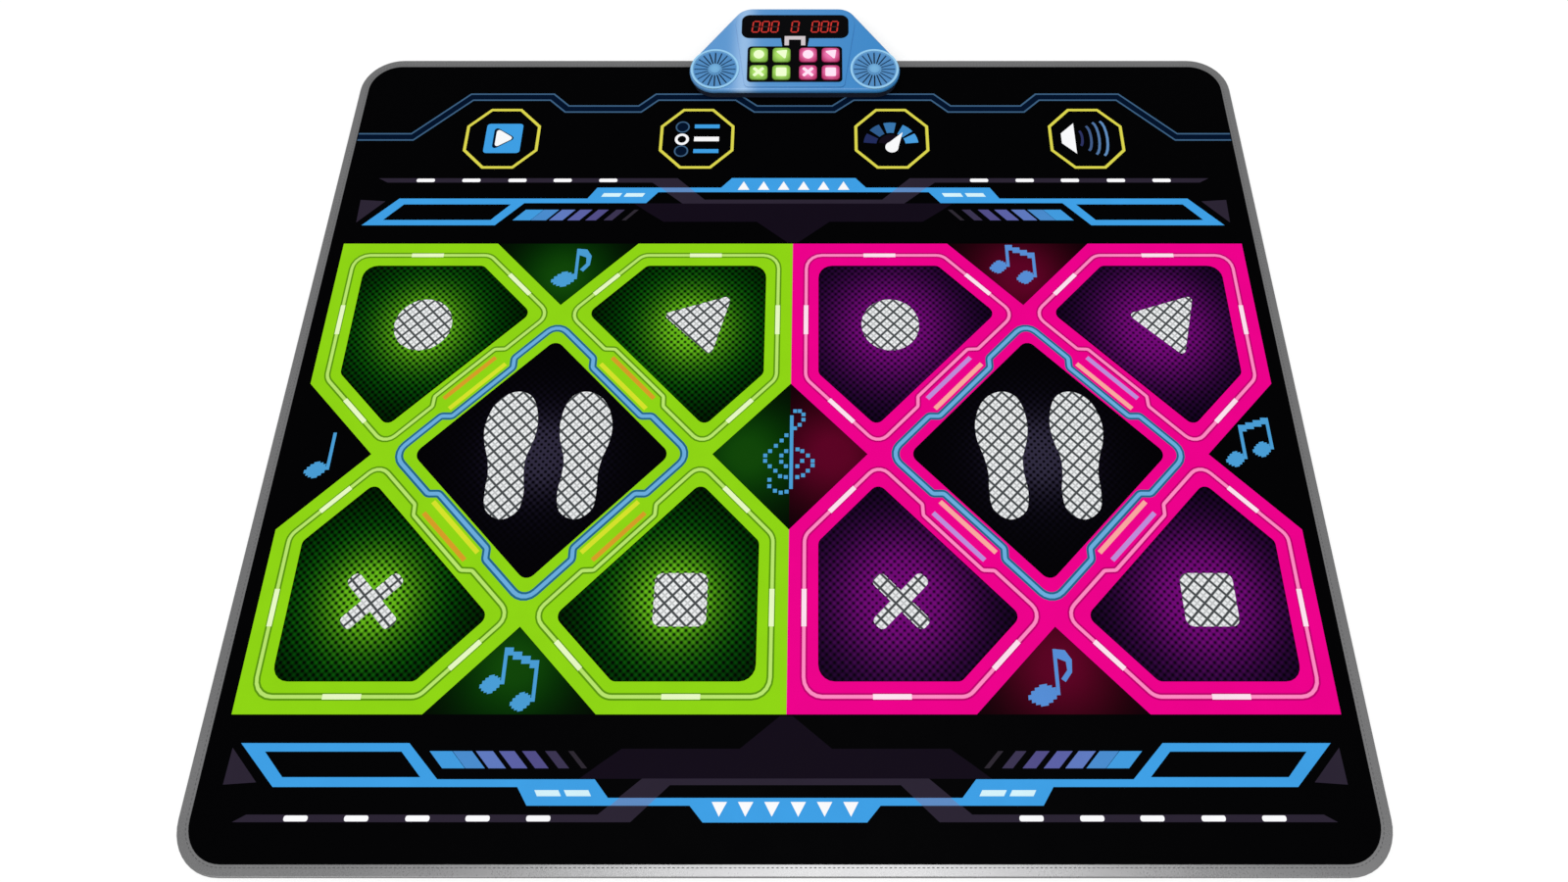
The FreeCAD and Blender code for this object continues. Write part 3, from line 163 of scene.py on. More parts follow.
def smooth(points: Outline, steps: int = 4) -> Outline:
    """Rounds a closed outline into a flowing curve through its points."""
    count = len(points)
    result: Outline = []
    for index in range(count):
        p0, p1, p2, p3 = (Vector(points[(index + k) % count]) for k in (-1, 0, 1, 2))
        for step in range(steps):
            t = step / steps
            spot = 0.5 * (
                2.0 * p1 + (p2 - p0) * t + (2.0 * p0 - 5.0 * p1 + 4.0 * p2 - p3) * t * t
                + (3.0 * p1 - p0 - 3.0 * p2 + p3) * t * t * t
            )
            result.append((spot.x, spot.y))
    return result


def moved(outline: Outline, centre: Point, across: float = 1.0, along: float = 1.0) -> Outline:
    """Puts a local outline at a centre, mirrored by the signs of across and along."""
    return [(centre[0] + across * x, centre[1] + along * y) for x, y in outline]


def four_turns(side: Outline, sense: float) -> Outline:
    """Repeats a run of points at each quarter turn about the origin; sense -1 goes clockwise."""
    result: Outline = []
    for turn in range(4):
        angle = sense * turn * math.pi / 2.0
        cosine, sine = round(math.cos(angle)), round(math.sin(angle))
        result += [(x * cosine - y * sine, x * sine + y * cosine) for x, y in side]
    return result


# ------------------------------------------------------------------ shader building
class Graph:
    """Adds nodes to a tree and joins them."""

    def __init__(self, tree: bpy.types.NodeTree) -> None:
        """Keeps the tree to build in."""
        self.tree = tree

    def node(self, kind: str, inputs: dict | None = None, **settings: object) -> bpy.types.Node:
        """Adds one node.

        Args:
            kind: the node's type name.
            inputs: values or sockets by input name or number.
            settings: the node's own properties.

        Returns:
            The new node.
        """
        made = self.tree.nodes.new(kind)
        for name, value in settings.items():
            setattr(made, name, value)
        for name, value in (inputs or {}).items():
            self.feed(made.inputs[name], value)
        return made

    def feed(self, socket: bpy.types.NodeSocket, value: object) -> None:
        """Gives a socket a value, or a link when the value is a socket."""
        if isinstance(value, bpy.types.NodeSocket):
            self.tree.links.new(value, socket)
        else:
            socket.default_value = value

    def math(self, operation: str, first: object, second: object = 0.0) -> bpy.types.NodeSocket:
        """Adds a Math node and gives its result."""
        return self.node("ShaderNodeMath", {0: first, 1: second}, operation=operation).outputs[0]

    def mix(self, share: object, first: object, second: object, blend: str = "MIX") -> bpy.types.NodeSocket:
        """Adds a colour Mix node and gives its result."""
        made = self.tree.nodes.new("ShaderNodeMix")
        made.data_type = "RGBA"
        made.blend_type = blend
        made.clamp_factor = True
        for index, value in ((0, share), (6, first), (7, second)):
            self.feed(made.inputs[index], value)
        return made.outputs[2]

    def remap(
        self, value: object, low: float, high: float, to_low: float, to_high: float
    ) -> bpy.types.NodeSocket:
        """Maps a range of values onto another, with soft ends."""
        made = self.node(
            "ShaderNodeMapRange",
            {"Value": value, "From Min": low, "From Max": high, "To Min": to_low, "To Max": to_high},
            interpolation_type="SMOOTHSTEP",
        )
        return made.outputs["Result"]


def srgb(red: float, green: float, blue: float) -> Colour:
    """Turns a display colour, 0 to 255, into the shader's linear one."""
    def one(value: float) -> float:
        share = value / 255.0
        return LIGHT_LEVEL * (share / 12.92 if share <= 0.04045 else ((share + 0.055) / 1.055) ** 2.4)

    return one(red), one(green), one(blue)


def blended(first: Colour, second: Colour, share: float) -> Colour:
    """Gives a colour part of the way from the first to the second."""
    return tuple(a + (b - a) * share for a, b in zip(first, second))


def new_group(
    name: str, inputs: dict[str, float | str], outputs: dict[str, str]
) -> tuple[bpy.types.NodeTree, Graph]:
    """Starts a shader node group.

    Args:
        name: the group's name.
        inputs: each input's default number, or "vector" or "colour".
        outputs: each output's kind, "value" or "colour".

    Returns:
        The tree and a graph on it.
    """
    kinds = {"vector": "NodeSocketVector", "colour": "NodeSocketColor", "value": "NodeSocketFloat"}
    tree = bpy.data.node_groups.new(name, "ShaderNodeTree")
    for label, default in inputs.items():
        kind = kinds[default] if isinstance(default, str) else "NodeSocketFloat"
        socket = tree.interface.new_socket(label, in_out="INPUT", socket_type=kind)
        if not isinstance(default, str):
            socket.default_value = default
    for label, kind in outputs.items():
        tree.interface.new_socket(label, in_out="OUTPUT", socket_type=kinds[kind])
    return tree, Graph(tree)


def grain_group() -> bpy.types.NodeTree:
    """Builds the fine surface grain: cloudy shade, uneven gloss and a bumpy height."""
    tree, graph = new_group(
        "surface_grain",
        {"Vector": "vector", "Scale": 900.0, "Mottle": 0.05, "Gloss Change": 0.08},
        {"Shade": "value", "Gloss": "value", "Height": "value"},
    )
    entry = graph.node("NodeGroupInput").outputs
    place, scale = entry["Vector"], entry["Scale"]
    fine = graph.node("ShaderNodeTexNoise", {"Vector": place, "Scale": scale, "Detail": 3.0})
    broad_scale = graph.math("MULTIPLY", scale, 0.02)
    broad = graph.node("ShaderNodeTexNoise", {"Vector": place, "Scale": broad_scale, "Detail": 4.0})
    cloud = graph.math("SUBTRACT", broad.outputs["Fac"], 0.5)
    shade = graph.math("ADD", graph.math("MULTIPLY", cloud, entry["Mottle"]), 1.0)
    both = graph.math("ADD", cloud, graph.math("SUBTRACT", fine.outputs["Fac"], 0.5))
    gloss = graph.math("MULTIPLY", both, entry["Gloss Change"])
    graph.node("NodeGroupOutput", {"Shade": shade, "Gloss": gloss, "Height": fine.outputs["Fac"]})
    return tree


def net_group() -> bpy.types.NodeTree:
    """Builds a slanted net: its lines, and a wave that is 1 where they cross and -1 between them."""
    tree, graph = new_group(
        "slanted_net",
        {"Vector": "vector", "Pitch": 0.0047, "Line": 0.14},
        {"Lines": "value", "Wave": "value"},
    )
    entry = graph.node("NodeGroupInput")
    parts = graph.node("ShaderNodeSeparateXYZ", {0: entry.outputs["Vector"]})
    ways = []
    far = 1000.0  # whole steps that keep the sum above nought
    for operation in ("ADD", "SUBTRACT"):
        slant = graph.math(operation, parts.outputs["X"], parts.outputs["Y"])
        steps = graph.math("DIVIDE", slant, graph.math("MULTIPLY", entry.outputs["Pitch"], SQUARE_ROOT))
        ways.append(graph.math("SUBTRACT", graph.math("FRACT", graph.math("ADD", steps, far)), 0.5))
    near = [graph.math("SUBTRACT", 0.5, graph.math("ABSOLUTE", way)) for way in ways]
    closest = graph.math("MINIMUM", near[0], near[1])
    spread = graph.math("DIVIDE", closest, entry.outputs["Line"])
    lines = graph.remap(spread, 0.3, 0.75, 1.0, 0.0)
    waves = [graph.math("COSINE", graph.math("MULTIPLY", way, 2.0 * math.pi)) for way in ways]
    wave = graph.math("MULTIPLY", graph.math("ADD", waves[0], waves[1]), -0.5)
    graph.node("NodeGroupOutput", {"Lines": lines, "Wave": wave})
    return tree


def weave_group() -> bpy.types.NodeTree:
    """Builds a plain weave: the height of crossing threads, and a painted shade that darkens their low parts.
    """
    tree, graph = new_group(
        "plain_weave", {"Vector": "vector", "Pitch": 0.0007}, {"Height": "value", "Shade": "value"}
    )
    entry = graph.node("NodeGroupInput")
    parts = graph.node("ShaderNodeSeparateXYZ", {0: entry.outputs["Vector"]})
    turn = graph.math("DIVIDE", 2.0 * math.pi, entry.outputs["Pitch"])
    waves = [graph.math("SINE", graph.math("MULTIPLY", parts.outputs[axis], turn)) for axis in "XYZ"]
    across = graph.math("MULTIPLY", waves[0], waves[1])
    height = graph.math("ADD", across, graph.math("MULTIPLY", waves[2], 0.5))
    # painted shade: the low parts of the weave are darker
    shade = graph.remap(height, -1.0, 1.0, 0.88, 1.06)
    graph.node("NodeGroupOutput", {"Height": height, "Shade": shade})
    return tree


class Groups:
    """Holds each shared shader group once."""

    made: dict[str, bpy.types.NodeTree] = {}

    @classmethod
    def get(cls, name: str) -> bpy.types.NodeTree:
        """Gives a group by name, building it the first time."""
        builders = {"grain": grain_group, "net": net_group, "weave": weave_group}
        if name not in cls.made:
            cls.made[name] = builders[name]()
        return cls.made[name]


def use_group(graph: Graph, name: str, inputs: dict) -> bpy.types.Node:
    """Places a shared group in a material's graph."""
    made = graph.tree.nodes.new("ShaderNodeGroup")
    made.node_tree = Groups.get(name)
    for label, value in inputs.items():
        graph.feed(made.inputs[label], value)
    return made


MADE: dict[str, bpy.types.Material] = {}


def once(build: object) -> object:
    """Makes a finish's material the first time that it is asked for, and keeps it."""
    def ask(finish: object) -> bpy.types.Material:
        if finish.name not in MADE:
            MADE[finish.name] = build(finish)
        return MADE[finish.name]

    return ask


def start_material(name: str) -> tuple[bpy.types.Material, Graph, bpy.types.Node, bpy.types.NodeSocket]:
    """Starts a material: gives it, its graph, its Principled shader and its Object coordinates."""
    material = bpy.data.materials.new(name)
    material.use_nodes = True
    graph = Graph(material.node_tree)
    shader = next(node for node in material.node_tree.nodes if node.type == "BSDF_PRINCIPLED")
    place = graph.node("ShaderNodeTexCoord").outputs["Object"]
    return material, graph, shader, place


def grained(
    graph: Graph, place: bpy.types.NodeSocket, scale: float, mottle: float, change: float
) -> bpy.types.NodeOutputs:
    """Places the fine surface grain and gives its outputs."""
    inputs = {"Vector": place, "Scale": scale, "Mottle": mottle, "Gloss Change": change}
    return use_group(graph, "grain", inputs).outputs


def tinted(graph: Graph, colour: object, shade: bpy.types.NodeSocket) -> bpy.types.NodeSocket:
    """Multiplies a colour by a shade."""
    tint = graph.node("ShaderNodeCombineColor", {0: shade, 1: shade, 2: shade})
    return graph.mix(1.0, colour, tint.outputs[0], "MULTIPLY")


def surfaced(
    graph: Graph, shader: bpy.types.Node, gloss: bpy.types.NodeSocket, height: bpy.types.NodeSocket,
    roughness: float, specular: float, strength: float, distance: float,
) -> None:
    """Gives a shader its uneven gloss, its specular level and its bumps.

    Args:
        graph: the material's graph.
        shader: its Principled shader.
        gloss: how the roughness changes over the surface.
        height: the bumps' height.
        roughness: the roughness that the change is added to.
        specular: the specular level.
        strength: how strongly the bumps show.
        distance: how tall they are, in metres.
    """
    graph.feed(shader.inputs["Roughness"], graph.math("ADD", gloss, roughness))
    shader.inputs["Specular IOR Level"].default_value = specular
    bump = graph.node("ShaderNodeBump", {"Strength": strength, "Distance": distance, "Height": height})
    graph.feed(shader.inputs["Normal"], bump.outputs["Normal"])


# ------------------------------------------------------------------ finishes
class Pattern(Enum):
    """How an ink is laid down."""

    PLAIN = "plain"
    HATCHED = "hatched"
    GLOW = "glow"


@dataclass(frozen=True)
class Ink:
    """One ink of the printed vinyl cover; second is its shade in lines, or where a glow ends.

    net is how strongly a glow breaks up into a net of dots, net_base the level that the net swings
    about, and net_least the least light left between the dots.
    """

    name: str
    colour: Colour
    second: Colour = BLACK
    pattern: Pattern = Pattern.PLAIN
    reach: float = 0.1
    heart: Colour = BLACK
    heart_reach: float = 0.04
    net: float = 1.55
    net_base: float = 1.12
    net_least: float = 0.06
    roughness: float = 0.5

    @once
    def material(self) -> bpy.types.Material:
        """Builds the ink's material."""
        material, graph, shader, place = start_material(f"ink_{self.name}")
        grain = grained(graph, place, scale=1500.0, mottle=0.12, change=0.16)
        colour = tinted(graph, self.laid(graph, place), grain["Shade"])
        graph.feed(shader.inputs["Base Color"], colour)
        surfaced(
            graph, shader, grain["Gloss"], grain["Height"],
            roughness=self.roughness, specular=0.008, strength=0.12, distance=0.0002,
        )
        return material

    def laid(self, graph: Graph, place: bpy.types.NodeSocket) -> object:
        """Gives the ink's colour over the surface, as its pattern asks."""
        first = (*self.colour, 1.0)
        second = (*self.second, 1.0)
        if self.pattern is Pattern.PLAIN:
            return first
        if self.pattern is Pattern.HATCHED:
            net = use_group(graph, "net", {"Vector": place, "Pitch": HATCH_PITCH, "Line": 0.22})
            fine = use_group(graph, "net", {"Vector": place, "Pitch": FINE_PITCH, "Line": 0.3})
            light = graph.math("MULTIPLY", fine.outputs["Lines"], 0.4)
            return graph.mix(graph.math("MAXIMUM", net.outputs["Lines"], light), first, second)
        spot = graph.node("ShaderNodeAttribute", attribute_name="spot").outputs["Vector"]
        away = graph.node("ShaderNodeVectorMath", {0: spot}, operation="LENGTH").outputs["Value"]
        net = use_group(graph, "net", {"Vector": place, "Pitch": FINE_PITCH})
        wave = graph.math("ADD", graph.math("MULTIPLY", net.outputs["Wave"], self.net), self.net_base)
        dots = graph.math("MAXIMUM", wave, self.net_least)
        colour = second
        for reach, glow in ((self.reach, first), (self.heart_reach, (*self.heart, 1.0))):
            share = graph.math("DIVIDE", away, reach)
            soft = graph.math("EXPONENT", graph.math("MULTIPLY", graph.math("MULTIPLY", share, share), -1.0))
            level = graph.math("MULTIPLY", soft, dots)
            colour = graph.mix(1.0, colour, graph.mix(level, (*BLACK, 1.0), glow), "ADD")
        return colour


@dataclass(frozen=True)
class Moulding:
    """A moulded, painted or coated finish."""

    name: str
    colour: Colour
    roughness: float = 0.4
    grain: float = 1400.0
    depth: float = 0.15
    mottle: float = 0.06
    metallic: float = 0.0
    glow: float = 0.0
    specular: float = 0.4

    @once
    def material(self) -> bpy.types.Material:
        """Builds the finish's material."""
        material, graph, shader, place = start_material(self.name)
        grain = grained(graph, place, self.grain, self.mottle, change=0.1)
        colour = tinted(graph, (*self.colour, 1.0), grain["Shade"])
        graph.feed(shader.inputs["Base Color"], colour)
        shader.inputs["Metallic"].default_value = self.metallic
        if self.glow > 0.0:
            graph.feed(shader.inputs["Emission Color"], colour)
            shader.inputs["Emission Strength"].default_value = self.glow
        surfaced(
            graph, shader, grain["Gloss"], grain["Height"],
            roughness=self.roughness, specular=self.specular, strength=self.depth, distance=0.0003,
        )
        return material


@dataclass(frozen=True)
class Tape:
    """Woven binding tape or stitching thread."""

    name: str
    colour: Colour
    pitch: float = 0.0009
    roughness: float = 0.72
    metallic: float = 0.0

    @once
    def material(self) -> bpy.types.Material:
        """Builds the tape's material."""
        material, graph, shader, place = start_material(self.name)
        weave = use_group(graph, "weave", {"Vector": place, "Pitch": self.pitch}).outputs
        grain = grained(graph, place, scale=600.0, mottle=0.12, change=0.08)
        # the weave's painted shade in its low parts, times the grain's random mottle
        shade = graph.math("MULTIPLY", weave["Shade"], grain["Shade"])
        graph.feed(shader.inputs["Base Color"], tinted(graph, (*self.colour, 1.0), shade))
        shader.inputs["Metallic"].default_value = self.metallic
        shader.inputs["Sheen Weight"].default_value = 0.15
        surfaced(
            graph, shader, grain["Gloss"], weave["Height"],
            roughness=self.roughness, specular=0.6, strength=0.06, distance=0.0002,
        )
        return material


@dataclass(frozen=True)
class ShellPlastic:
    """Glossy blue shell plastic with painted light: a painted highlight along the left edge of its raised
    middle, and painted light that makes the shell paler towards the left.
    """

    name: str
    colour: Colour
    # pale is the painted highlight's colour; edge and reach place the highlight and set its spread
    pale: Colour
    edge: float = -0.064
    reach: float = 0.013

    @once
    def material(self) -> bpy.types.Material:
        """Builds the shell's material."""
        material, graph, shader, place = start_material(self.name)
        parts = graph.node("ShaderNodeSeparateXYZ", {0: place})
        # painted highlight: a pale band along the left edge of the raised middle
        away = graph.math("DIVIDE", graph.math("SUBTRACT", parts.outputs["X"], self.edge), self.reach)
        painted_glint = graph.math("EXPONENT", graph.math("MULTIPLY", graph.math("MULTIPLY", away, away), -1.0))
        # painted light: the shell grows paler towards its left side
        slope = graph.remap(parts.outputs["X"], -0.13, 0.13, 0.22, 0.0)
        grain = grained(graph, place, scale=1200.0, mottle=0.05, change=0.06)
        share = graph.math("ADD", graph.math("MULTIPLY", painted_glint, 0.7), slope)
        colour = graph.mix(share, (*self.colour, 1.0), (*self.pale, 1.0))
        graph.feed(shader.inputs["Base Color"], colour)
        surfaced(
            graph, shader, grain["Gloss"], grain["Height"],
            roughness=0.34, specular=0.3, strength=0.06, distance=0.0003,
        )
        return material


@dataclass(frozen=True)
class GrillePlastic:
    """Grille plastic for a left and a right grille: a pale ring of painted highlight along each pod's rim,
    round a deeper plate and a paler cap.
    """

    name: str
    plate: Colour
    ring: Colour
    cap: Colour
    centre: tuple[float, float, float]
    radius: float

    @once
    def material(self) -> bpy.types.Material:
        """Builds the grilles' material."""
        material, graph, shader, place = start_material(self.name)
        parts = graph.node("ShaderNodeSeparateXYZ", {0: place})
        side = graph.math("ABSOLUTE", parts.outputs["X"])
        folded = graph.node("ShaderNodeCombineXYZ", {0: side, 1: parts.outputs["Y"], 2: 0.0})
        spot = (self.centre[0], self.centre[1], 0.0)
        gap = graph.node("ShaderNodeVectorMath", {0: folded.outputs[0], 1: spot}, operation="DISTANCE")
        away = gap.outputs["Value"]
        # painted highlight: the pale ring along the pod's rim
        outer = graph.remap(away, self.radius * 0.86, self.radius * 0.93, 0.0, 1.0)
        inner = graph.remap(away, self.radius * 0.05, self.radius * 0.42, 1.0, 0.0)
        colour = graph.mix(inner, (*self.plate, 1.0), (*self.cap, 1.0))
        colour = graph.mix(outer, colour, (*self.ring, 1.0))
        grain = grained(graph, place, scale=1300.0, mottle=0.05, change=0.08)
        graph.feed(shader.inputs["Base Color"], colour)
        surfaced(
            graph, shader, grain["Gloss"], grain["Height"],
            roughness=0.42, specular=0.3, strength=0.06, distance=0.0003,
        )
        return material


@dataclass(frozen=True)
class KeyPlastic:
    """Key plastic with painted light: a faint painted glow, pale in the middle and deeper at the rim."""

    name: str
    middle: Colour
    rim: Colour
    centre: tuple[float, float, float]
    reach: float = 0.0135

    def material(self) -> bpy.types.Material:
        """Builds the key's material."""
        material, graph, shader, place = start_material(self.name)
        shift = graph.node("ShaderNodeVectorMath", {0: place, 1: self.centre}, operation="SUBTRACT")
        level = (1.0, 1.0, 0.0)
        flat = graph.node("ShaderNodeVectorMath", {0: shift.outputs[0], 1: level}, operation="MULTIPLY")
        away = graph.node("ShaderNodeVectorMath", {0: flat.outputs[0]}, operation="LENGTH").outputs["Value"]
        near = graph.remap(away, self.reach * 0.3, self.reach, 1.0, 0.0)
        grain = grained(graph, place, scale=900.0, mottle=0.1, change=0.1)
        # painted light: the glow and colour are palest in the middle and deeper at the rim, with no lamp
        # under the key
        colour = graph.mix(near, (*self.rim, 1.0), (*self.middle, 1.0))
        graph.feed(shader.inputs["Base Color"], colour)
        graph.feed(shader.inputs["Emission Color"], colour)
        shader.inputs["Emission Strength"].default_value = 0.12
        surfaced(
            graph, shader, grain["Gloss"], grain["Height"],
            roughness=0.35, specular=0.4, strength=0.08, distance=0.0002,
        )
        return material


# ------------------------------------------------------------------ inks of the cover
GROUND = Ink("ground", srgb(2, 2, 3))
DARK_PURPLE = Ink("dark_purple", srgb(19, 12, 25))
DIM = Ink("dim_purple", srgb(44, 37, 52))
NAVY = Ink("navy", srgb(2, 18, 42))
OUTLINE_BLUE = Ink("outline_blue", srgb(62, 98, 132))
BAND_BLUE = Ink("band_blue", srgb(63, 160, 230))
PALE_CYAN = Ink("pale_cyan", srgb(214, 244, 252))
WHITE = Ink("white", srgb(252, 252, 254))
HATCHED_WHITE = Ink("hatched_white", srgb(240, 242, 243), srgb(70, 74, 76), Pattern.HATCHED)
NOTE_BLUE = Ink("note_blue", srgb(74, 158, 214))
NOTE_VIOLET = Ink("note_violet", srgb(86, 142, 214))
NEON_BLUE = Ink("neon_blue", srgb(108, 174, 222))
NEON_EDGE = Ink("neon_edge", srgb(36, 104, 140))
SIGN_YELLOW = Ink("sign_yellow", srgb(220, 214, 78))
DIAMOND_BLACK = Ink(
    "diamond_black", srgb(12, 10, 22), srgb(2, 1, 4), Pattern.GLOW, 0.06, srgb(44, 40, 58), 0.032
)
DIM_BLUE = Ink("dim_blue", srgb(96, 140, 196))


@dataclass(frozen=True)
class Scheme:
    """The inks of one player's block."""

    band: Ink
    pad: Ink
    notch: Ink
    line: Ink
    line_edge: Ink
    pad_accent: Ink
    diamond_accent: Ink
    dash: Ink


SCHEMES = {
    "green": Scheme(
        Ink("lime", srgb(143, 214, 20)),
        Ink("green_glow", srgb(0, 88, 8), srgb(0, 2, 0), Pattern.GLOW, 0.07, srgb(104, 168, 22), 0.034),
        Ink("green_notch", srgb(6, 62, 4), srgb(1, 6, 1), Pattern.GLOW, 0.05, srgb(10, 26, 2), 0.03, 0.0),
        Ink("pale_lime", srgb(186, 230, 110)),
        Ink("deep_lime", srgb(92, 150, 16)),
        Ink("orange", srgb(214, 158, 40)),
        Ink("yellow", srgb(214, 226, 44)),
        Ink("dash_lime", srgb(232, 250, 196)),
    ),
    "pink": Scheme(
        Ink("magenta", srgb(238, 0, 140)),
        Ink("purple_glow", srgb(40, 8, 62), srgb(1, 0, 2), Pattern.GLOW, 0.082, srgb(108, 0, 104), 0.05, 1.1),
        Ink("pink_notch", srgb(84, 2, 30), srgb(8, 0, 4), Pattern.GLOW, 0.05, srgb(30, 0, 10), 0.03, 0.0),
        Ink("pale_pink", srgb(255, 140, 196)),
        Ink("deep_pink", srgb(190, 0, 112)),
        Ink("lilac", srgb(190, 142, 220)),
        Ink("peach", srgb(250, 170, 160)),
        Ink("dash_pink", srgb(255, 226, 240)),
    ),
}
SIDES = {"green": -1.0, "pink": 1.0}
SYMBOLS = {"circle": (-1.0, 1.0), "triangle": (1.0, 1.0), "cross": (-1.0, -1.0), "square": (1.0, -1.0)}
ZONES = {"play": -1.5, "menu": -0.5, "speed": 0.5, "volume": 1.5}


def placed(name: str, mesh: bpy.types.Mesh) -> bpy.types.Object:
    """Puts a mesh into the scene as an object at the origin."""
    made = bpy.data.objects.new(name, mesh)
    bpy.context.scene.collection.objects.link(made)
    return made


# ------------------------------------------------------------------ the cover's print
@dataclass
class Print:
    """The shapes of the cover in painter's order: a later shape covers an earlier one."""

    outlines: list[Outline] = field(default_factory=list)
    inks: list[Ink] = field(default_factory=list)
    spots: list[Point] = field(default_factory=list)

    def fill(self, outline: Outline, ink: Ink, spot: Point = MIDDLE) -> None:
        """Paints one shape; spot is where its glow is centred."""
        self.outlines.append(outline if signed_area(outline) > 0.0 else outline[::-1])
        self.inks.append(ink)
        self.spots.append(spot)

    def line(self, points: Outline, width: float, ink: Ink, closed: bool = False) -> None:
        """Paints a line of that width as one short piece for each run."""
        left = offset_sides(points, width / 2.0, closed)
        right = offset_sides(points, -width / 2.0, closed)
        count = len(points)
        for index in range(count if closed else count - 1):
            after = (index + 1) % count
            for run in ([right[index], right[after], left[after]], [right[index], left[after], left[index]]):
                if signed_area(run) > 1e-3:
                    self.fill(run, ink)

    def both(self, outline: Outline, ink: Ink) -> None:
        """Paints a shape and its mirror image across the middle of the mat."""
        self.fill(outline, ink)
        self.fill([(-x, y) for x, y in outline], ink)


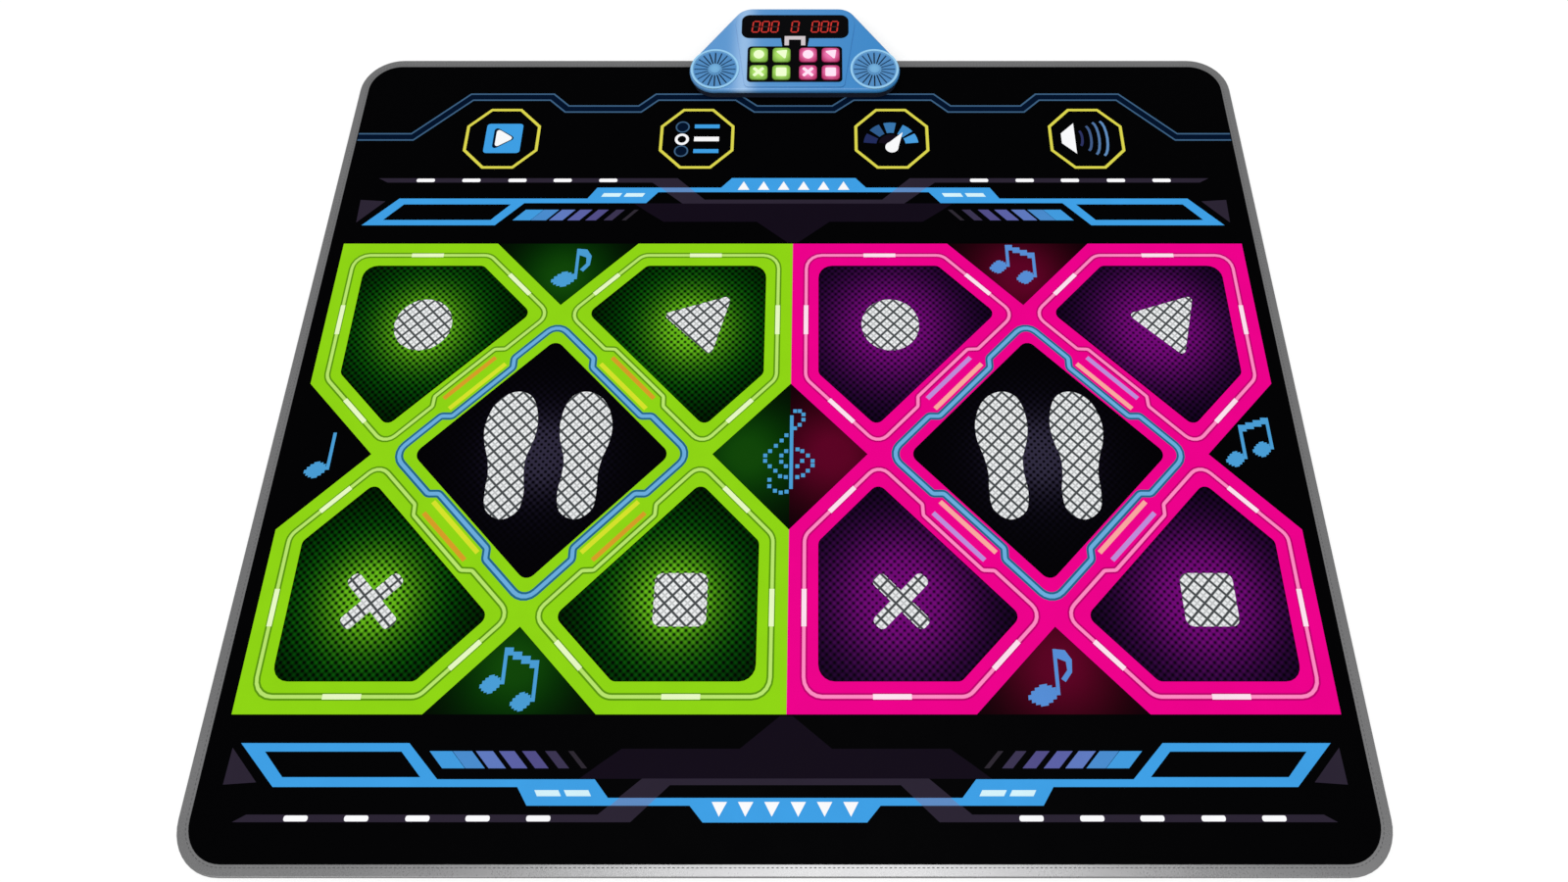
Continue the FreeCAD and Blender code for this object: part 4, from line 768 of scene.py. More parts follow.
@dataclass
class Block:
    """One player's block of four step pads round a standing diamond; sizes in millimetres."""

    colour: str
    middle: Point
    side: float = 524.0
    notch: float = 82.0
    band: float = 30.0
    reach: float = 142.7
    pad_corner: float = 16.0
    small_corner: float = 9.0
    standing_reach: float = 96.2
    line_inset: float = 16.0
    line_reach: float = 127.0
    line_jog: float = 134.9
    neon_reach: float = 110.8
    neon_jog: float = 102.6
    dash_shift: float = 6.0
    dash_half: float = 18.5
    bar_wide: float = 5.0
    line_wide: tuple[float, float] = (7.0, 3.4)
    neon_wide: tuple[float, float] = (8.6, 4.0)
    notch_heart: float = 0.45
    pad_heart: Point = (150.0, 152.0)
    foot_gap: float = 3.6

    def quadrant(self, outline: Outline, across: float, along: float) -> Outline:
        """Puts a first-quadrant outline into one of the four quadrants."""
        return moved(outline, self.middle, across, along)

    def pad_outline(self) -> Outline:
        """Gives the outline of the step pad in the first quadrant."""
        outer = self.side / 2.0 - self.band
        cut = self.side / 2.0 - self.notch - self.band * SQUARE_ROOT
        inner = self.reach * SQUARE_ROOT
        points = [
            (outer, outer), (outer - cut, outer), ((inner - cut) / 2.0, (inner + cut) / 2.0),
            ((inner + cut) / 2.0, (inner - cut) / 2.0), (outer, outer - cut),
        ]
        return rounded(points, [self.pad_corner] + [self.small_corner] * 4)

    def body_outline(self) -> Outline:
        """Gives the block's outline with the notch in the middle of each side."""
        half = self.side / 2.0
        quarter = [(self.notch, half), (0.0, half - self.notch), (-self.notch, half), (-half, half)]
        return moved(four_turns(quarter, 1.0), self.middle)

    def slanted(self, reach: float, along: float) -> Point:
        """Gives the point at that distance along the first quadrant's diagonal and beside it."""
        return (reach + along) / SQUARE_ROOT, (reach - along) / SQUARE_ROOT

    def pad_line(self) -> Outline:
        """Gives the pale line round the first quadrant's pad, with its jog beside the diamond."""
        edge, slope, low, high = self.line_corners()
        near, far = self.line_reach, self.line_jog
        jog = [self.slanted(*place) for place in ((near, -49.0), (far, -40.5), (far, 40.5), (near, 49.0))]
        points = [(edge, edge), (edge - slope, edge), (low, high)] + jog + [(high, low), (edge, edge - slope)]
        return rounded(points, [18.0, 16.0, 14.0, 4.0, 4.0, 4.0, 4.0, 14.0, 16.0])

    def line_corners(self) -> tuple[float, float, float, float]:
        """Gives the pale line's outer edge, its slope's run, and the two places of its inner corners."""
        edge = self.side / 2.0 - self.line_inset
        slope = self.side / 2.0 - self.notch - self.line_inset * SQUARE_ROOT
        near = self.line_reach * SQUARE_ROOT
        low = (near - slope) / 2.0
        return edge, slope, low, near - low

    def standing_line(self) -> Outline:
        """Gives the blue line round the diamond, with a jog on each side."""
        out, jog = self.neon_reach, self.neon_jog
        places = ((out, -49.0), (jog, -41.0), (jog, 41.0), (out, 49.0))
        side = [(0.0, out * SQUARE_ROOT)] + [self.slanted(*place) for place in places]
        return moved(rounded(four_turns(side, -1.0), [15.0, 5.0, 5.0, 5.0, 5.0] * 4), self.middle)

    def foot(self) -> Outline:
        """Gives the right footprint, toes away from the player."""
        points = [
            (37, 3), (51, -2), (62, -15), (68, -36), (66.5, -55), (60.5, -74), (57.5, -92), (58, -110),
            (55, -130), (38.5, -141), (21.5, -132), (17.5, -112), (20, -92), (20, -74), (14, -53), (12, -34),
            (16, -13), (24, -1),
        ]
        return smooth([(float(x), float(y) - self.middle[1]) for x, y in points])

    def symbols(self) -> dict[str, list[Outline]]:
        """Gives each pad's symbol as local outlines."""
        arms = [
            rounded(bar((-150.0 - s * 24.5, -179.5), (-150.0 + s * 24.5, -130.5), 15.0), 5.5)
            for s in (-1.0, 1.0)
        ]
        return {
            "circle": [regular((-151.5, 155.0), 32.4, 40)],
            "triangle": [rounded([(116.0, 168.5), (173.0, 115.0), (194.0, 193.0)], 4.5)],
            "cross": arms,
            "square": [rounded(rectangle(129.0, -180.0, 182.0, -127.0), 8.0)],
        }

    def paint(self, art: Print) -> None:
        """Paints the whole block."""
        scheme = SCHEMES[self.colour]
        half = self.side / 2.0
        cx, cy = self.middle
        for across, along in ((0.0, 1.0), (0.0, -1.0), (1.0, 0.0), (-1.0, 0.0)):
            tip = (cx + across * (half - self.notch), cy + along * (half - self.notch))
            corners = [
                (cx + across * half + along * s * self.notch, cy + along * half + across * s * self.notch)
                for s in (-1.0, 1.0)
            ]
            outer = across == SIDES[self.colour]
            deep = self.notch * self.notch_heart
            middle = (tip[0] + across * deep, tip[1] + along * deep)
            art.fill([tip] + corners, GROUND if outer else scheme.notch, middle)
        art.fill(self.body_outline(), scheme.band)
        for across, along in SYMBOLS.values():
            spot = (cx + across * self.pad_heart[0], cy + along * self.pad_heart[1])
            art.fill(self.quadrant(self.pad_outline(), across, along), scheme.pad, spot)
        out = self.standing_reach * SQUARE_ROOT
        diamond = [(0.0, out), (out, 0.0), (0.0, -out), (-out, 0.0)]
        art.fill(moved(rounded(diamond, 10.0), self.middle), DIAMOND_BLACK, self.middle)
        for across in (-1.0, 1.0):
            for along in (-1.0, 1.0):
                line = self.quadrant(self.pad_line(), across, along)
                for wide, ink in zip(self.line_wide, (scheme.line_edge, scheme.line)):
                    art.line(line, wide, ink, closed=True)
                self.paint_dashes(art, across, along, scheme.dash)
                accents = ((126.0, 35.0, scheme.pad_accent), (112.0, 38.0, scheme.diamond_accent))
                for reach, long, ink in accents:
                    shape = bar(self.slanted(reach, -long), self.slanted(reach, long), self.bar_wide)
                    art.fill(self.quadrant(shape, across, along), ink)
        standing = self.standing_line()
        for wide, ink in zip(self.neon_wide, (NEON_EDGE, NEON_BLUE)):
            art.line(standing, wide, ink, closed=True)
        for across in (-1.0, 1.0):
            art.fill(moved(self.foot(), (cx + self.foot_gap, cy), across), HATCHED_WHITE)
        for shapes in self.symbols().values():
            for shape in shapes:
                art.fill(moved(shape, self.middle), HATCHED_WHITE)

    def paint_dashes(self, art: Print, across: float, along: float, ink: Ink) -> None:
        """Paints the pale dash in the middle of each outer side of a pad's line."""
        edge, slope, low, high = self.line_corners()
        sides = [
            ((edge, edge), (edge - slope, edge), self.dash_shift),
            ((edge, edge), (edge, edge - slope), self.dash_shift),
            ((low, high), (edge - slope, edge), 0.0), ((high, low), (edge, edge - slope), 0.0),
        ]
        for start, stop, shift in sides:
            along_side = (Vector(stop) - Vector(start)).normalized()
            middle = (Vector(start) + Vector(stop)) / 2.0 + along_side * shift
            way = along_side * self.dash_half
            shape = bar(tuple(middle - way), tuple(middle + way), self.bar_wide)
            art.fill(self.quadrant(shape, across, along), ink)


@dataclass
class Notes:
    """The blue music notes in the notches; places in millimetres from the mat's middle."""

    stem_half: float = 1.8
    dot_half: float = 2.1

    def paint(self, art: Print) -> None:
        """Paints every note and the dotted clef."""
        self.single(art, (-262.0, 144.5), (29.0, 22.0), 13.0, 41.0)
        self.pair(art, (238.0, 161.0), (268.0, 147.0), 11.0, 28.0)
        self.pair(art, (470.0, -75.0), (500.0, -64.0), 10.5, 34.0)
        self.quarter(art, (-497.0, -87.0), (24.0, 20.0), 12.0, 42.0)
        self.pair(art, (-283.0, -304.0), (-252.0, -320.0), 11.0, 33.0)
        self.single(art, (245.0, -314.0), (30.0, 22.0), 14.0, 43.0)
        self.clef(art)

    def tone(self, x: float) -> Ink:
        """Gives the ink of a note at that place: violet on the pink player's dark red."""
        return NOTE_VIOLET if 100.0 < x < 420.0 else NOTE_BLUE

    def head(self, art: Print, centre: Point, size: Point) -> None:
        """Paints one stepped note head, tipped up to the right."""
        quarter = [(1.0, 0.22), (0.8, 0.22), (0.8, 0.55), (0.55, 0.55), (0.55, 0.8), (0.25, 0.8), (0.25, 1.0)]
        corners = quarter + [(-x, y) for x, y in quarter[::-1]]
        corners += [(-x, -y) for x, y in quarter] + [(x, -y) for x, y in quarter[::-1]]
        half = (size[0] / 2.0, size[1] / 2.0)
        outline = [(centre[0] + half[0] * x, centre[1] + half[1] * (0.9 * y + 0.22 * x)) for x, y in corners]
        art.fill(outline, self.tone(centre[0]))

    def stem(self, art: Print, head: Point, x: float, top: float) -> None:
        """Paints a stem from a head's height up to its top."""
        art.fill(rectangle(x - self.stem_half, head[1], x + self.stem_half, top), self.tone(head[0]))

    def quarter(self, art: Print, head: Point, size: Point, across: float, tall: float) -> None:
        """Paints a head with a bare stem."""
        self.head(art, head, size)
        x = head[0] + across
        self.stem(art, head, x, head[1] + tall)

    def single(self, art: Print, head: Point, size: Point, across: float, tall: float) -> None:
        """Paints a head with a stem and a flag."""
        self.quarter(art, head, size, across, tall)
        x, top = head[0] + across, head[1] + tall
        flag = [
            (x, top), (x + 10.0, top - 1.0), (x + 16.0, top - 10.0), (x + 15.0, top - 22.0),
            (x + 8.0, top - 31.0), (x + 4.0, top - 28.0), (x + 10.5, top - 20.0), (x + 10.0, top - 12.0),
            (x, top - 8.0),
        ]
        art.fill(flag, self.tone(head[0]))

    def pair(self, art: Print, left: Point, right: Point, across: float, tall: float) -> None:
        """Paints two heads joined by a stepped beam."""
        tops = []
        for head in (left, right):
            self.head(art, head, (21.0, 19.0))
            x, top = head[0] + across, head[1] + tall
            self.stem(art, head, x, top)
            tops.append((x, top))
        (x0, y0), (x1, y1) = tops
        steps = 4
        for step in range(steps):
            a, b = step / steps, (step + 1) / steps
            level = y0 + (y1 - y0) * (a + b) / 2.0
            start, wide = x0 - self.stem_half, x1 - x0 + 2.0 * self.stem_half
            low, high = start + wide * a, start + wide * b
            art.fill(rectangle(low, level - 4.0, high, level + 3.5), self.tone(left[0]))

    def clef(self, art: Print) -> None:
        """Paints the clef on the mat's middle as rows of square dots."""
        art.fill(rectangle(-0.4, -108.0, 3.4, -25.0), NOTE_BLUE)
        runs = [
            [(5, -20), (10, -20), (14, -24), (14, -30), (10, -36), (5, -40)],
            [(-4, -48), (-9, -54), (-15, -60), (-21, -66), (-26, -71), (-26, -77), (-21, -83), (-15, -88)],
            [(-10, -94), (-4, -95), (8, -95), (14, -93), (19, -88)],
            [(24, -82), (24, -77), (19, -71), (13, -66)],
            [(8, -64), (-4, -66), (-9, -71), (-9, -78), (-4, -83), (8, -83), (13, -77)],
            [(-21, -98), (-21, -105), (-15, -110), (-9, -112), (-3, -111)],
        ]
        half = self.dot_half
        for x, y in (dot for run in runs for dot in run):
            art.fill(rectangle(x - half, y - half, x + half, y + half), NOTE_BLUE)


@dataclass
class Header:
    """The trim above the blocks; flipped about the blocks' middle line it is also the trim below."""

    def paint(self, art: Print, flip_about: float | None = None) -> None:
        """Paints the trim, or its flipped copy.

        Args:
            art: the print to add to.
            flip_about: the height of the line it is flipped about, if it is.
        """
        def put(outline: Outline, ink: Ink) -> None:
            turned = outline if flip_about is None else [(x, 2.0 * flip_about - y) for x, y in outline]
            art.both(turned, ink)

        put(
            [(-190.0, 249.0), (0.0, 249.0), (0.0, 194.0), (-6.0, 194.0), (-43.0, 223.0), (-153.0, 223.0),
             (-172.0, 236.0)], DARK_PURPLE,
        )
        put(
            [(-500.5, 285.5), (-140.0, 285.5), (-106.0, 254.4), (0.0, 254.4), (0.0, 248.8), (-132.0, 248.8),
             (-170.0, 279.2), (-489.0, 279.2)], DIM,
        )
        for across in (443.5, 388.5, 333.0, 278.5, 223.5):
            put(rounded(rectangle(-across - 11.0, 279.9, -across + 11.0, 284.9), 1.8, 2), WHITE)
        put(
            [(-508.5, 218.0), (-351.5, 218.0), (-320.5, 249.4), (-250.0, 249.4), (-175.5, 249.4),
             (-162.0, 265.2), (-90.0, 265.2), (0.0, 265.2), (0.0, 285.8), (-74.5, 285.8), (-87.0, 271.8),
             (-159.0, 271.8), (-235.5, 271.8), (-246.0, 256.0), (-470.5, 256.0)], BAND_BLUE,
        )
        put([(-484.5, 225.5), (-357.5, 225.5), (-336.5, 247.6), (-463.5, 247.6)], GROUND)
        for left, right in ((-230.0, -205.0), (-203.0, -177.5)):
            put([(left, 258.6), (right - 3.0, 258.6), (right, 263.8), (left + 3.0, 263.8)], PALE_CYAN)
        put([(-159.5, 271.8), (-151.5, 265.2), (-117.8, 265.2), (-125.0, 271.8)], DIM_BLUE)
        for across in (12.0, 36.0, 60.0):
            put([(-across - 7.0, 268.6), (-across + 7.0, 268.6), (-across, 281.0)], WHITE)
        put([(-516.5, 254.0), (-486.5, 252.0), (-515.5, 222.0)], DIM)
        self.ticks(put)

    def ticks(self, put: object) -> None:
        """Paints the row of slanted ticks that fade towards the middle."""
        left, low, high, lean = -331.5, 225.0, 240.0, 14.0
        tones = (
            (21.0, (66, 156, 224)), (18.0, (74, 140, 206)), (16.0, (96, 122, 192)), (14.5, (92, 98, 166)),
            (12.5, (82, 78, 136)), (10.0, (60, 53, 82)), (5.0, (46, 41, 50)),
        )
        for index, (width, tone) in enumerate(tones):
            right = left + width
            shape = [(left, low), (right, low), (right + lean, high), (left + lean, high)]
            put(shape, Ink(f"tick_{index}", srgb(*tone)))
            left += 21.5

    def double_line(self, art: Print) -> None:
        """Paints the stepped double line along the rear of the mat."""
        upper = [
            (-538.0, 352.5), (-473.0, 352.5), (-408.0, 414.8), (-303.5, 414.8), (-283.0, 396.0),
            (-195.5, 396.0), (-175.0, 414.8), (-71.0, 414.8), (-47.0, 396.0), (0.0, 396.0),
        ]
        lower = offset_sides(upper, -9.6, False)
        for index in range(len(upper) - 1):
            art.both([lower[index], lower[index + 1], upper[index + 1], upper[index]], NAVY)
        for points in (upper, lower):
            left = offset_sides(points, 1.05, False)
            right = offset_sides(points, -1.05, False)
            for index in range(len(points) - 1):
                art.both([right[index], right[index + 1], left[index + 1], left[index]], OUTLINE_BLUE)


@dataclass
class ZoneSigns:
    """The four function zones: an eight-sided yellow ring and a sign in each."""

    flats: float = 94.0
    pitch: float = 240.0
    back: float = 345.5
    hem: float = 1.0
    ring: float = 3.7
    menu_ring: float = 8.8
    gauge_outer: float = 34.0
    gauge_inner: float = 18.0
    gauge_fan: float = 15.5
    gauge_hub: float = 8.2
    sound_wide: float = 3.2

    def outline(self, steps: float, inset: float = 0.0) -> Outline:
        """Gives a zone's outline, moved in by inset."""
        radius = (self.flats / 2.0 - inset) / math.cos(math.pi / 8.0)
        corner = 1.5 if inset == 0.0 else 0.5
        return rounded(regular((steps * self.pitch, self.back), radius, 8, math.pi / 8.0), corner, 2)

    def paint(self, art: Print) -> None:
        """Paints all four zones."""
        for name, steps in ZONES.items():
            art.fill(self.outline(steps), GROUND)
            art.fill(self.outline(steps, self.hem), SIGN_YELLOW)
            art.fill(self.outline(steps, self.hem + self.ring), GROUND)
            getattr(self, name)(art, (steps * self.pitch, self.back))

    def play(self, art: Print, middle: Point) -> None:
        """Paints a white arrowhead on a blue square."""
        spot = (middle[0] + 1.5, middle[1])
        art.fill(moved(rounded(rectangle(-22.5, -22.5, 22.5, 22.5), 4.0, 3), spot), BAND_BLUE)
        rim = rounded([(-12.5, 18.5), (-12.5, -18.0), (15.5, 0.3)], 3.5, 3)
        art.fill(moved(rim, spot), NAVY)
        arrow = rounded([(-9.5, 15.5), (-9.5, -14.5), (13.0, 0.3)], 3.0, 3)
        art.fill(moved(arrow, spot), WHITE)

    def menu(self, art: Print, middle: Point) -> None:
        """Paints three rings, each with a bar beside it."""
        rows = (
            (17.5, 18.5, 6.0, OUTLINE_BLUE, 1.8), (-1.5, -1.0, 7.0, WHITE, 3.5),
            (-19.5, -19.5, 6.0, OUTLINE_BLUE, 1.8),
        )
        for ring_rise, bar_rise, thick, ink, wall in rows:
            spot = (middle[0] - 18.5, middle[1] + ring_rise)
            art.fill(regular(spot, self.menu_ring, 20), ink)
            art.fill(regular(spot, self.menu_ring - wall, 20), NAVY if ink is OUTLINE_BLUE else GROUND)
            low = middle[1] + bar_rise - thick / 2.0
            tint = WHITE if ink is WHITE else BAND_BLUE
            art.fill(rectangle(middle[0] - 3.5, low, middle[0] + 27.5, low + thick), tint)

    def speed(self, art: Print, middle: Point) -> None:
        """Paints a gauge of five wedges with a white needle."""
        pivot = (middle[0] - 1.0, middle[1] - 9.5)
        spans = ((5.0, 30.0), (37.0, 63.0), (78.0, 105.0), (115.0, 140.0), (150.0, 175.0))
        for index, (start, stop) in enumerate(spans):
            colour = blended(srgb(74, 160, 226), srgb(34, 44, 92), index / 4.0)
            angles = [start + (stop - start) * k / 4.0 for k in range(5)]
            outer, inner = arc(pivot, self.gauge_outer, angles), arc(pivot, self.gauge_inner, angles)
            art.fill(outer + inner[::-1], Ink(f"gauge_{index}", colour))
        art.fill(arc(pivot, self.gauge_fan, range(20, 171, 15)) + [pivot], DARK_PURPLE)
        centre = (middle[0], middle[1] - 13.5)
        needle = [(-7.0, -9.5), (7.0, -17.5), (14.0, 9.5)]
        art.fill(moved(needle, middle), WHITE)
        art.fill(regular(centre, self.gauge_hub, 20), WHITE)

    def volume(self, art: Print, middle: Point) -> None:
        """Paints a loudspeaker with four sound arcs."""
        art.fill(moved([(-31.0, 7.5), (-31.0, -7.5), (-14.0, -23.5), (-14.0, 23.5)], middle), WHITE)
        for index, (across, tall) in enumerate(((-5.0, 12.0), (6.0, 20.0), (16.0, 26.0), (26.0, 28.0))):
            colour = blended(srgb(44, 50, 96), srgb(95, 140, 190), index / 3.0)
            bow = tall * 0.28
            points = [
                (across - bow + bow * math.cos(math.radians(a)), tall * math.sin(math.radians(a)) * 0.96)
                for a in range(-80, 81, 20)
            ]
            art.line(moved(points, middle), self.sound_wide, Ink(f"sound_{index}", colour))


# ------------------------------------------------------------------ the cover as pieces
@dataclass
class Panel:
    """One piece of the cover: where it lies, what it stands for and what it rides on."""

    name: str
    outline: Outline
    body: str
    nodes: tuple[str, ...]
    slot: str


@dataclass
class Cover:
    """The printed cover with its pads and zones; sizes in millimetres."""

    edge_corner: float = 36.9
    play: float = 0.25
    merge: float = 1e-4
    map_edge: float = 0.01
    map_print: float = 0.93
    map_rest: tuple[float, float] = (0.955, 0.035)
    zones: ZoneSigns = field(default_factory=ZoneSigns)

    def __post_init__(self) -> None:
        """Reads the mat's middle and the cover's faces from the frame."""
        low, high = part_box("edge_binding")
        self.middle = ((low.x + high.x) / 2.0, (low.y + high.y) / 2.0)
        low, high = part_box("top_cover")
        self.half = ((high.x - low.x) / 2.0 / MM, (high.y - low.y) / 2.0 / MM)
        self.under, self.top = low.z, high.z
        self.blocks = {name: Block(name, (side * 262.0, -69.5)) for name, side in SIDES.items()}

    def panels(self) -> list[Panel]:
        """Lists the ground panels, then the pads and zones that lie in them."""
        wide, deep = self.half
        block = self.blocks["green"]
        columns = [-wide, -block.side / 2.0, 0.0, block.side / 2.0, wide]
        rear = block.middle[1] + block.side / 2.0
        front = block.middle[1] - block.side / 2.0
        rows = [-deep, front, block.middle[1], rear, deep]
        result = []
        for column in range(4):
            for row in range(4):
                name = f"cover_panel_{column + 1}{row + 1}"
                outline = rectangle(columns[column], rows[row], columns[column + 1], rows[row + 1])
                stands = ("top_cover",) if column == row == 0 else ()
                result.append(Panel(name, outline, "mat", stands, "printed_cover"))
        for colour, player in self.blocks.items():
            for symbol, (across, along) in SYMBOLS.items():
                name = f"{colour}_{symbol}"
                outline = player.quadrant(player.pad_outline(), across, along)
                stands, slot = (f"{name}_pad",), f"{colour}_pad_cover"
                result.append(Panel(f"{name}_step_cover", outline, f"{name}_step", stands, slot))
        for name, steps in ZONES.items():
            outline = self.zones.outline(steps)
            stands = (f"{name}_zone",)
            result.append(Panel(f"{name}_zone_cover", outline, f"{name}_step", stands, "printed_cover"))
        return result

    def art(self) -> Print:
        """Paints the whole print."""
        art = Print()
        header = Header()
        header.paint(art)
        header.paint(art, self.blocks["green"].middle[1])
        header.double_line(art)
        self.zones.paint(art)
        for block in self.blocks.values():
            block.paint(art)
        Notes().paint(art)
        return art

    def build(self) -> list[bpy.types.Object]:
        """Cuts the top of the mat along every printed edge and makes the pieces.

        Returns:
            The finished pieces, riding on their bodies.
        """
        panels = self.panels()
        art = self.art()
        wide, deep = self.half
        edge = rounded(rectangle(-wide, -deep, wide, deep), self.edge_corner, 12)
        outlines = [edge] + [panel.outline for panel in panels] + art.outlines
        points: list[Vector] = []
        faces: list[list[int]] = []
        for outline in outlines:
            ordered = outline if signed_area(outline) > 0.0 else outline[::-1]
            faces.append(list(range(len(points), len(points) + len(ordered))))
            points += [Vector(point) for point in ordered]
        places, _, cells, _, _, sources = delaunay_2d_cdt(points, [], faces, TOP_CELLS, self.merge)
        first_art = 1 + len(panels)
        share: dict[int, list[tuple[list[int], int]]] = {}
        for cell, source in zip(cells, sources):
            homes = [index for index in source if 1 <= index < first_art]
            if 0 not in source or not homes:
                continue
            shapes = [index for index in source if index >= first_art]
            share.setdefault(max(homes) - 1, []).append((cell, max(shapes) - first_art if shapes else -1))
        made = []
        for index, panel in enumerate(panels):
            made.append(self.piece(panel, places, share[index], art))
        LOG.info("cover: %d shapes, %d pieces, %d cells", len(art.outlines), len(made), len(cells))
        return made

    def piece(self, panel: Panel, places: list, cells: list, art: Print) -> bpy.types.Object:
        """Makes one closed piece of the cover from its cells.

        Args:
            panel: the piece's name, body and nodes.
            places: every cut point of the top, in millimetres.
            cells: the piece's triangles, each with the number of the shape that it shows.
            art: the print, for inks and glow middles.

        Returns:
            The piece, riding on its body.
        """
        order: dict[int, int] = {}
        top: list[tuple[list[int], int]] = []
        for cell, shape in cells:
            turn = cell if signed_area([tuple(places[k]) for k in cell]) > 0.0 else cell[::-1]
            top.append(([order.setdefault(k, len(order)) for k in turn], shape))
        flat = [places[k] for k in order]
        edges = {(cell[k], cell[(k + 1) % len(cell)]) for cell, _ in top for k in range(len(cell))}
        rim = [(a, b) for a, b in edges if (b, a) not in edges]
        rim_points = sorted({a for a, _ in rim})
        below = {a: len(flat) + index for index, a in enumerate(rim_points)}
        local = {a: index for index, a in enumerate(rim_points)}
        # the underside; it also fills the hole of a pad or zone, which nothing shows
        _, _, floor, origin, _, _ = delaunay_2d_cdt(
            [flat[a] for a in rim_points], [(local[a], local[b]) for a, b in rim], [],
            UNDERSIDE_CELLS, self.merge / 10.0,
        )
        faces = [cell for cell, _ in top]
        inks = [art.inks[shape] if shape >= 0 else GROUND for _, shape in top]
        spots = [art.spots[shape] if shape >= 0 else MIDDLE for _, shape in top]
        for a, b in sorted(rim):
            faces.append([a, below[a], below[b], b])
        for cell in floor:
            corners = [rim_points[origin[k][0]] for k in cell]
            turn = corners if signed_area([tuple(flat[a]) for a in corners]) < 0.0 else corners[::-1]
            faces.append([below[a] for a in turn])
        spare = len(faces) - len(top)
        inks += [GROUND] * spare
        spots += [MIDDLE] * spare
        heights = [self.top] * len(flat) + [self.under] * len(rim_points)
        level = flat + [flat[a] for a in rim_points]
        if panel.body != "mat":
            level = self.eased(level)
        vertices = [
            (self.middle[0] + p[0] * MM, self.middle[1] + p[1] * MM, z) for p, z in zip(level, heights)
        ]
        mesh = bpy.data.meshes.new(panel.name)
        mesh.from_pydata(vertices, [], faces)
        slots = list(dict.fromkeys(inks))
        for ink in slots:
            mesh.materials.append(ink.material())
        mesh.polygons.foreach_set("material_index", [slots.index(ink) for ink in inks])
        self.lay_maps(mesh, level, spots, len(top))
        mesh.update()
        piece = placed(panel.name, mesh)
        if panel.nodes:
            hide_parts(*panel.nodes)
        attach(piece, panel.body)
        return piece

    def eased(self, level: list) -> list[Vector]:
        """Draws a step's cover in by the play that lets it sink in its hole.

        Args:
            level: each vertex's place on the mat, in millimetres.

        Returns:
            The same places, drawn in towards the cover's middle.
        """
        low = Vector(min(p[axis] for p in level) for axis in (0, 1))
        high = Vector(max(p[axis] for p in level) for axis in (0, 1))
        middle = (low + high) / 2.0
        share = 1.0 - 2.0 * self.play / min(high - low)
        return [middle + (Vector(p) - middle) * share for p in level]

    def lay_maps(self, mesh: bpy.types.Mesh, level: list, spots: list[Point], top_count: int) -> None:
        """Writes where each glow is centred, and a flat map that gives the print nearly all the room.

        Args:
            mesh: the piece's mesh.
            level: each vertex's place on the mat, in millimetres.
            spots: each face's glow middle, in millimetres.
            top_count: how many faces lie on top.
        """
        low = [min(p[axis] for p in level) for axis in (0, 1)]
        span = [max(p[axis] for p in level) - low[axis] for axis in (0, 1)]
        reach = max(span)
        spot = mesh.attributes.new("spot", "FLOAT_VECTOR", "CORNER")
        layer = mesh.uv_layers.new(name="OFBake")
        for index, polygon in enumerate(mesh.polygons):
            for corner in polygon.loop_indices:
                x, y = level[mesh.loops[corner].vertex_index]
                spot.data[corner].vector = ((x - spots[index][0]) * MM, (y - spots[index][1]) * MM, 0.0)
                u, v = (x - low[0]) / reach, (y - low[1]) / reach
                low_v, wide_v = (self.map_edge, self.map_print) if index < top_count else self.map_rest
                layer.uv[corner].vector = (self.map_edge + self.map_print * u, low_v + wide_v * v)


